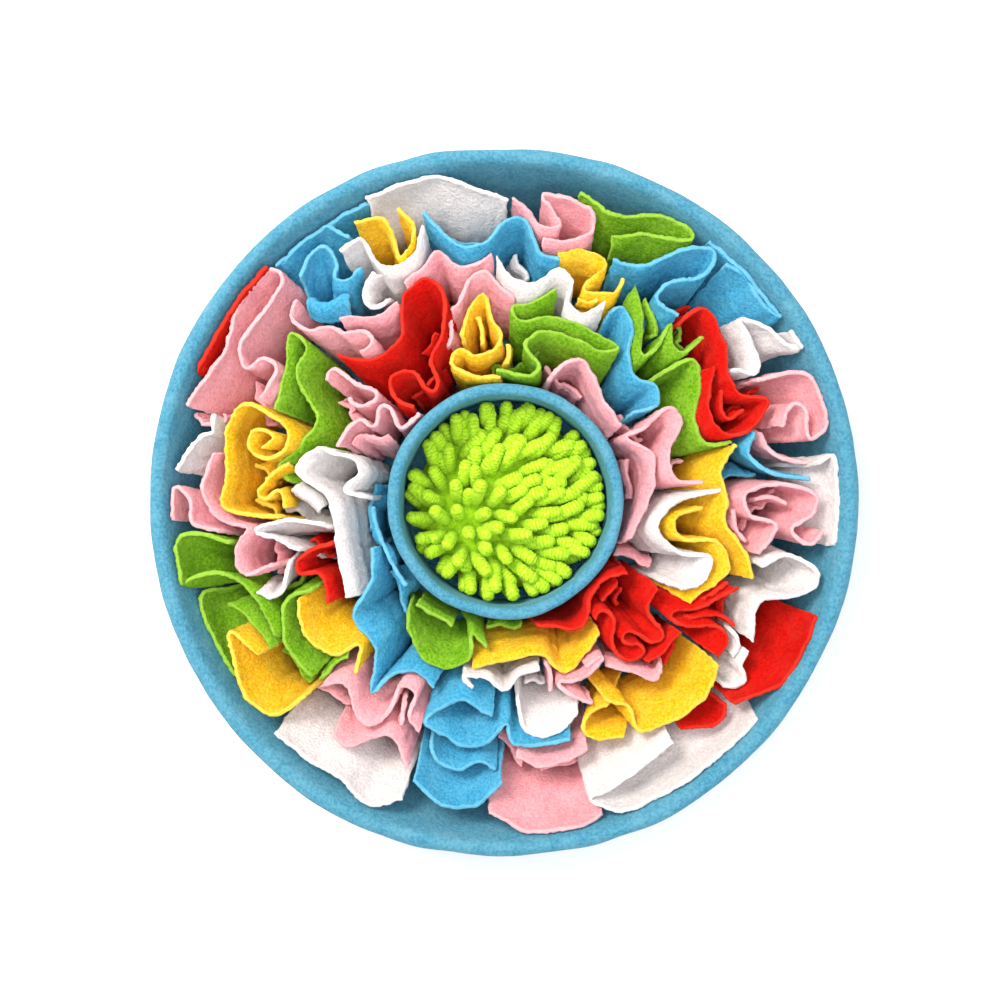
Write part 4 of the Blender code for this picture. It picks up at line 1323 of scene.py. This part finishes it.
    def dress(self, strip: Strip, sheet: np.ndarray, extra: bool) -> bpy.types.Object:
        """Makes one strip's piece from its middle surface.

        Args:
            strip: the strip.
            sheet: its middle surface.
            extra: whether it has no solid of its own.

        Returns:
            The piece.
        """
        sheet = self.with_hem(self.cut_by_hand(sheet))
        rows, columns = sheet.shape[:2]
        obj = new_object(
            f"fleece_{strip.name}", sheet.reshape(-1, 3), grid_faces(rows, columns), self.materials[strip.colour]
        )
        row, column = np.meshgrid(np.arange(rows), np.arange(columns), indexing="ij")
        near = np.minimum(np.minimum(column, columns - 1 - column), rows - 1 - row)
        # Painted highlight: marks the cut edges, which the material paints paler.
        paint(obj, "painted_edge_highlight", np.where(near == 0, 1.0, 0.0))
        thicken = obj.modifiers.new("fleece", "SOLIDIFY")
        thicken.thickness = self.thickness * MM
        thicken.offset = 0.0
        smooth = obj.modifiers.new("soft_edges", "SUBSURF")
        smooth.levels = smooth.render_levels = 1
        uneven = obj.modifiers.new("nap", "DISPLACE")
        uneven.texture = self.clumps()
        uneven.texture_coords = "LOCAL"
        uneven.strength = self.nap * MM
        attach(obj, "root")
        if not extra:
            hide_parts(f"strip_{strip.name}")
        return obj


# ---------------------------------------------------------------- tub, cup and pad


@dataclass
class Tub:
    """The padded base and wall that the strips are sewn into."""

    material: bpy.types.Material
    columns: int = 300
    section: tuple = (
        (198.0, 0.0), (211.8, 35.0), (224.6, 66.0), (225.4, 71.5), (224.0, 76.8), (219.6, 80.4),
        (215.4, 79.0), (213.2, 74.0), (201.4, 40.0), (188.2, 8.6), (186.3, 6.0), (186.3, 0.0),
    )
    bulges: tuple = (
        (0, -0.5), (30, 0.0), (60, -0.5), (90, -1.4), (110, 2.0), (135, 2.5), (165, 1.1), (210, 0.3),
        (245, 1.7), (270, 0.3), (300, 0.8), (325, -1.3),
    )

    def bulge(self, angles: np.ndarray) -> np.ndarray:
        """How far the rim stands out at these angles, in radians."""
        known = [a for a, _ in self.bulges] + [360]
        sizes = [b for _, b in self.bulges] + [self.bulges[0][1]]
        return np.interp(np.degrees(angles) % 360, known, sizes)

    def fine_section(self, step: float = 2.2) -> np.ndarray:
        """The wall's section with rounded, evenly spaced points.

        Args:
            step: about how far apart the points are.

        Returns:
            Radius and height of each point, from the outer foot round to the inner one.
        """
        knots = np.array(self.section, float)
        dense = []
        for a, b in zip(knots, knots[1:]):
            dense.extend(a + (b - a) * t for t in np.linspace(0, 1, 12, endpoint=False))
        line = resample(np.array([*dense, knots[-1]]), 0.8)
        for _ in range(10):
            line[1:-1] = (line[:-2] + 2 * line[1:-1] + line[2:]) / 4
        return resample(line, step)

    def build(self) -> list[bpy.types.Object]:
        """Makes the base and the wall.

        Returns:
            Both pieces.
        """
        return [self.build_base(), self.build_wall()]

    def build_base(self) -> bpy.types.Object:
        """The padded disc that everything is sewn to.

        Returns:
            The piece.
        """
        radii = np.concatenate([np.linspace(2, 180, 46), [183, 185, BASE_RADIUS]])
        columns = 144
        puff = Ripple(38, 11)
        points: list = []
        for height, up in ((0.0, -1), (BASE_THICKNESS, 1)):
            for radius in radii:
                circle = ring(radius, height, columns)
                circle[:, 2] -= up * 2.0 * smooth_step(np.array(radius), 183, 186)
                if up > 0:
                    circle[:, 2] += puff.at(circle) * 0.5 - 0.6
                points.append(circle)
        count = len(radii)
        under = grid_faces(count, columns, wrap=True)
        over = (under + count * columns)[:, ::-1]
        last = (count - 1) * columns + np.arange(columns)
        after = (count - 1) * columns + (np.arange(columns) + 1) % columns
        side = np.column_stack([last, after, after + count * columns, last + count * columns])
        hubs = [tuple(range(columns))[::-1], tuple(range(count * columns, count * columns + columns))]
        faces = [*map(tuple, under), *map(tuple, over), *map(tuple, side), *hubs]
        obj = new_object("padded_base", np.vstack(points), faces, self.material)
        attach(obj, "root")
        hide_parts("tub_base")
        return obj

    def build_wall(self) -> bpy.types.Object:
        """The padded wall, with the dents and ripples of a soft stuffed tube.

        Returns:
            The piece.
        """
        section = self.fine_section()
        angles = even_angles(self.columns)
        rim = self.bulge(angles)
        points = np.stack([
            ring(radius + rim * min(1.0, height / RIM_HEIGHT), height, self.columns) for radius, height in section
        ])
        soft = dents(points, 17, 3)
        soft *= smooth_step(points[..., 2], 4, 26)
        tangent = np.gradient(section, axis=0)
        tangent /= np.linalg.norm(tangent, axis=1, keepdims=True)
        normal = np.column_stack([tangent[:, 1], -tangent[:, 0]])
        points[..., :2] += (soft * normal[:, 0][:, None])[..., None] * ring(1.0, 0.0, self.columns)[:, :2]
        points[..., 2] += soft * normal[:, 1][:, None] * 0.6
        obj = turned_tube("padded_wall", points, self.material)
        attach(obj, "root")
        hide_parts("tub_wall")
        return obj


@dataclass
class Cup:
    """The upright padded wall round the finger pad."""

    material: bpy.types.Material
    columns: int = 200

    def build(self) -> list[bpy.types.Object]:
        """Makes the cup's wall.

        Returns:
            The piece.
        """
        r, t = CUP_RADIUS, CUP_THICKNESS
        half = t / 2
        turn = np.linspace(0, math.pi, 12)
        over = np.column_stack([r - half + half * np.cos(turn), CUP_TOP - half + half * np.sin(turn)])
        up = np.column_stack([np.full(26, r), np.linspace(FLOOR, CUP_TOP - half, 26, endpoint=False)])
        down = np.column_stack([np.full(27, r - t), np.linspace(CUP_TOP - half, FLOOR, 27)])
        section = np.vstack([up, over, down[1:]])
        points = np.stack([ring(radius, height, self.columns) for radius, height in section])
        sway = dents(points, 15, 5)
        sway *= smooth_step(points[..., 2], 10, 40)
        points[..., :2] += sway[..., None] * ring(1.0, 0.0, self.columns)[:, :2]
        obj = turned_tube("padded_cup", points, self.material)
        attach(obj, "root")
        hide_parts("cup_wall")
        return [obj]


@dataclass
class FingerPad:
    """The domed chenille pad and its fingers."""

    material: bpy.types.Material
    radius: float = 59.0
    edge_height: float = 12.0
    crown_height: float = 27.0
    finger_length: float = 25.0
    finger_radius: float = 4.2
    root_depth: float = 2.5
    centre: tuple = (-26.0, -17.0)
    lean: float = math.radians(76)
    fan: float = 44.0
    reach: float = 66.0
    rings: tuple = ((0.0, 1), (10.5, 6), (21.0, 12), (31.5, 18), (41.5, 23), (50.5, 28))
    short_rings: tuple = ((26.0, 7), (46.0, 13), (56.0, 24))
    jitter: float = 0.9
    seed: int = 7
    around: int = 16
    steps: int = 42
    rib: float = 1.8  # spacing of the bound rows of pile along a finger

    def dome(self, radius: np.ndarray) -> np.ndarray:
        """Height of the backing's top at this distance from the middle of the cup."""
        share = np.minimum(1.0, radius / self.radius)
        return FLOOR + self.edge_height + (self.crown_height - self.edge_height) * (1 - share**2)

    def path(self, x: float, y: float, swing: float, stretch: float) -> np.ndarray:
        """Root, middle and tip of one finger.

        Args:
            x: where its root is, in millimetres.
            y: where its root is, in millimetres.
            swing: how far it points off the straight way out, in radians.
            stretch: how long it is, as a share of the usual length.

        Returns:
            The three places.
        """
        away = np.array([x - self.centre[0], y - self.centre[1]])
        distance = float(np.linalg.norm(away))
        out = away / distance if distance > 0.1 else np.zeros(2)
        out = np.array([
            out[0] * math.cos(swing) - out[1] * math.sin(swing), out[0] * math.sin(swing) + out[1] * math.cos(swing)
        ])
        length = self.finger_length * stretch
        lean = self.lean * min(1.0, distance / self.fan)
        while True:
            sections = [np.array([x, y, float(self.dome(np.array(math.hypot(x, y)))) - self.root_depth])]
            for share, run in ((0.45, self.root_depth + length / 2), (1.25, length / 2)):
                across, rise = math.sin(lean * share) * run, math.cos(lean * share) * run
                sections.append(sections[-1] + np.array([out[0] * across, out[1] * across, rise]))
            if math.hypot(sections[-1][0], sections[-1][1]) < self.reach or lean < 0.05:
                return np.array(sections)
            lean -= 0.04

    def build(self) -> list[bpy.types.Object]:
        """Makes the backing and the fingers.

        Returns:
            Both pieces.
        """
        return [self.build_backing(), self.build_fingers()]

    def build_backing(self) -> bpy.types.Object:
        """The domed backing, whose top is short tufted pile.

        Returns:
            The piece.
        """
        radii = np.concatenate([np.linspace(1.5, self.radius - 2, 40), [self.radius - 0.6, self.radius]])
        columns = 120
        tufts, lumps = Ripple(3.4, 21), Ripple(9, 22)
        rings = []
        for radius in radii:
            rounded = 3 * smooth_step(np.array(radius), self.radius - 3, self.radius)
            circle = ring(radius, float(self.dome(np.array(radius))) - rounded, columns)
            circle[:, 2] += tufts.at(circle) * 0.5 + lumps.at(circle) * 0.6 - 0.6
            rings.append(circle)
        rings.append(ring(self.radius, FLOOR, columns))
        points = np.vstack(rings)
        faces = [*map(tuple, grid_faces(len(rings), columns, wrap=True)[:, ::-1])]
        faces.append(tuple(range(columns)))
        faces.append(tuple((len(rings) - 1) * columns + k for k in range(columns))[::-1])
        obj = new_object("chenille_backing", points, faces, self.material)
        # Painted light: the backing gets one even, low level of the painted crest light.
        paint(obj, "painted_crest_light", np.full(len(points), 0.35))
        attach(obj, "root")
        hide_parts("chenille_pad")
        return obj

    def build_fingers(self) -> bpy.types.Object:
        """All the fingers, each a soft tube of ribbed pile along a bent core.

        Returns:
            The piece.
        """
        chosen = np.random.default_rng(self.seed)
        points, faces, crest_lights, first = [], [], [], 0
        for ring_radius, count in (*self.rings, *self.short_rings):
            short = 0.72 if (ring_radius, count) in self.short_rings else 1.0
            for i in range(count):
                angle = 2 * math.pi * (i + 0.5 * (count % 2)) / count
                dx, dy = chosen.uniform(-self.jitter, self.jitter, 2)
                swing, stretch = chosen.normal(0, 0.34), chosen.uniform(0.85, 1.2) * short
                core = self.path(
                    ring_radius * math.cos(angle) + dx * 2, ring_radius * math.sin(angle) + dy * 2, swing, stretch
                )
                turn = chosen.uniform(0, math.pi / 2)
                tube, crest_light = self.finger(core, turn, int(chosen.integers(1, 10000)))
                quads = grid_faces(len(tube), self.around, wrap=True) + first
                points.append(tube.reshape(-1, 3))
                crest_lights.append(crest_light.ravel())
                faces.extend(map(tuple, quads))
                faces.append(tuple(first + k for k in range(self.around))[::-1])
                faces.append(tuple(first + (len(tube) - 1) * self.around + k for k in range(self.around)))
                first += tube.shape[0] * tube.shape[1]
        obj = new_object("chenille_fingers", np.vstack(points), faces, self.material)
        paint(obj, "painted_crest_light", np.concatenate(crest_lights))
        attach(obj, "root")
        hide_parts("chenille_pad")
        return obj

    def finger(self, core: np.ndarray, turn: float, seed: int) -> tuple[np.ndarray, np.ndarray]:
        """One finger's surface.

        Args:
            core: its root, middle and tip.
            turn: how far it is turned about its core.
            seed: which unevenness it gets.

        Returns:
            Rings of points from root to tip, and the painted light of each point: high on a crest of the pile, low
            between crests.
        """
        t = np.linspace(0, 1, 60)[:, None]
        bend = 2 * core[1] - (core[0] + core[2]) / 2
        line = (1 - t) ** 2 * core[0] + 2 * t * (1 - t) * bend + t**2 * core[2]
        along = np.concatenate([[0], np.cumsum(np.linalg.norm(np.diff(line, axis=0), axis=1))])
        length = along[-1]
        tip = 1 - 0.18 * (1 - np.linspace(0, 1, 8)) ** 1.6
        share = np.concatenate([np.linspace(0, 0.82, self.steps - 8, endpoint=False), tip])
        centre = np.column_stack([np.interp(share * length, along, line[:, k]) for k in range(3)])
        ahead = np.gradient(centre, axis=0)
        ahead /= np.linalg.norm(ahead, axis=1, keepdims=True)
        side = np.cross(ahead, [math.cos(turn), math.sin(turn), 0.0])
        side /= np.linalg.norm(side, axis=1, keepdims=True)
        other = np.cross(ahead, side)
        angles = even_angles(self.around)
        left = (1 - share) * length
        cap = np.sqrt(np.clip(1 - (1 - np.clip(left / self.finger_radius, 0, 1)) ** 2, 0.02, 1))
        spin = np.sin(angles + seed) * 0.5
        phase = share[:, None] * length / self.rib * 2 * math.pi + spin[None] + seed
        ribs = np.sin(phase) * 0.5 + 0.5
        base = (side[:, None] * np.cos(angles)[None, :, None] + other[:, None] * np.sin(angles)[None, :, None])
        rough = Ripple(2.6, seed).at(centre[:, None] + base * self.finger_radius)
        radius = self.finger_radius * (1 + 0.06 * math.sin(seed)) * cap[:, None]
        radius = radius + (ribs * 0.7 - 0.4 + rough * 0.28) * np.minimum(1, cap[:, None])
        surface = centre[:, None] + base * radius[..., None]
        # The painted crest light follows the same ribs that raise the surface.
        return surface, np.clip(ribs * 0.6 + rough * 0.25 + 0.2, 0, 1)


# ---------------------------------------------------------------- studio


@dataclass
class Studio:
    """Pale floor, soft lights and the camera straight above the mat."""

    floor_size: float = 9.0
    camera_place: tuple = (-0.0033, 0.0007, 0.930)
    lens: float = 48.6

    def build(self) -> None:
        """Makes the floor, the lights, the world and the camera."""
        size = self.floor_size / 2 / MM
        rows = np.linspace(-size, size, 9)
        points = np.array([(x, y, -0.4) for y in rows for x in rows])
        floor = new_object("floor", points, grid_faces(9, 9), FloorFinish().build(), smooth=False)
        self.light("key_softbox", (-0.85, 0.85, 1.35), 0.8, 34.0, "FFF9F2")
        self.light("top_softbox", (0.1, -0.1, 1.9), 1.4, 22.0, "FFFFFF")
        self.light("fill_softbox", (1.1, -0.9, 1.2), 1.2, 7.0, "F2F6FF")
        world = bpy.data.worlds.new("studio")
        world.use_nodes = True
        world.node_tree.nodes["Background"].inputs["Color"].default_value = linear("FFFFFF")
        world.node_tree.nodes["Background"].inputs["Strength"].default_value = 0.54
        scene = bpy.context.scene
        scene.world = world
        scene.view_settings.view_transform = "Standard"
        data = bpy.data.cameras.new("camera")
        data.lens = self.lens
        data.sensor_width = 36.0
        camera = bpy.data.objects.new("camera", data)
        camera.location = self.camera_place
        scene.collection.objects.link(camera)
        scene.camera = camera

    def light(self, name: str, place: tuple, size: float, power: float, colour: str) -> None:
        """Adds one square softbox that faces the mat.

        Args:
            name: its name.
            place: where it hangs, in metres.
            size: the length of its side, in metres.
            power: in watts.
            colour: sRGB hex.
        """
        data = bpy.data.lights.new(name, "AREA")
        data.shape = "SQUARE"
        data.size = size
        data.energy = power
        data.color = linear(colour)[:3]
        lamp = bpy.data.objects.new(name, data)
        lamp.location = place
        distance = math.dist(place, (0, 0, 0))
        down = math.acos(place[2] / distance)
        lamp.rotation_euler = (0.0, down, math.atan2(place[1], place[0]))
        bpy.context.scene.collection.objects.link(lamp)


def main() -> None:
    """Builds every piece and reports it."""
    logging.basicConfig(level=logging.INFO, format="%(name)s: %(message)s")
    fleeces = {colour: finish.build() for colour, finish in FLEECES.items()}
    chenille = ChenilleFinish().build()
    assemblies = (
        Tub(fleeces[Colour.TUB]),
        Cup(fleeces[Colour.TUB]),
        FingerPad(chenille),
        FleeceStrips(fleeces),
    )
    faces = 0
    for assembly in assemblies:
        for piece in assembly.build():
            faces += len(piece.data.polygons)
            LOG.info("%s: %d faces before its modifiers", piece.name, len(piece.data.polygons))
    LOG.info("all pieces: %d faces", faces)
    Studio().build()


if __name__ == "__main__":
    main()
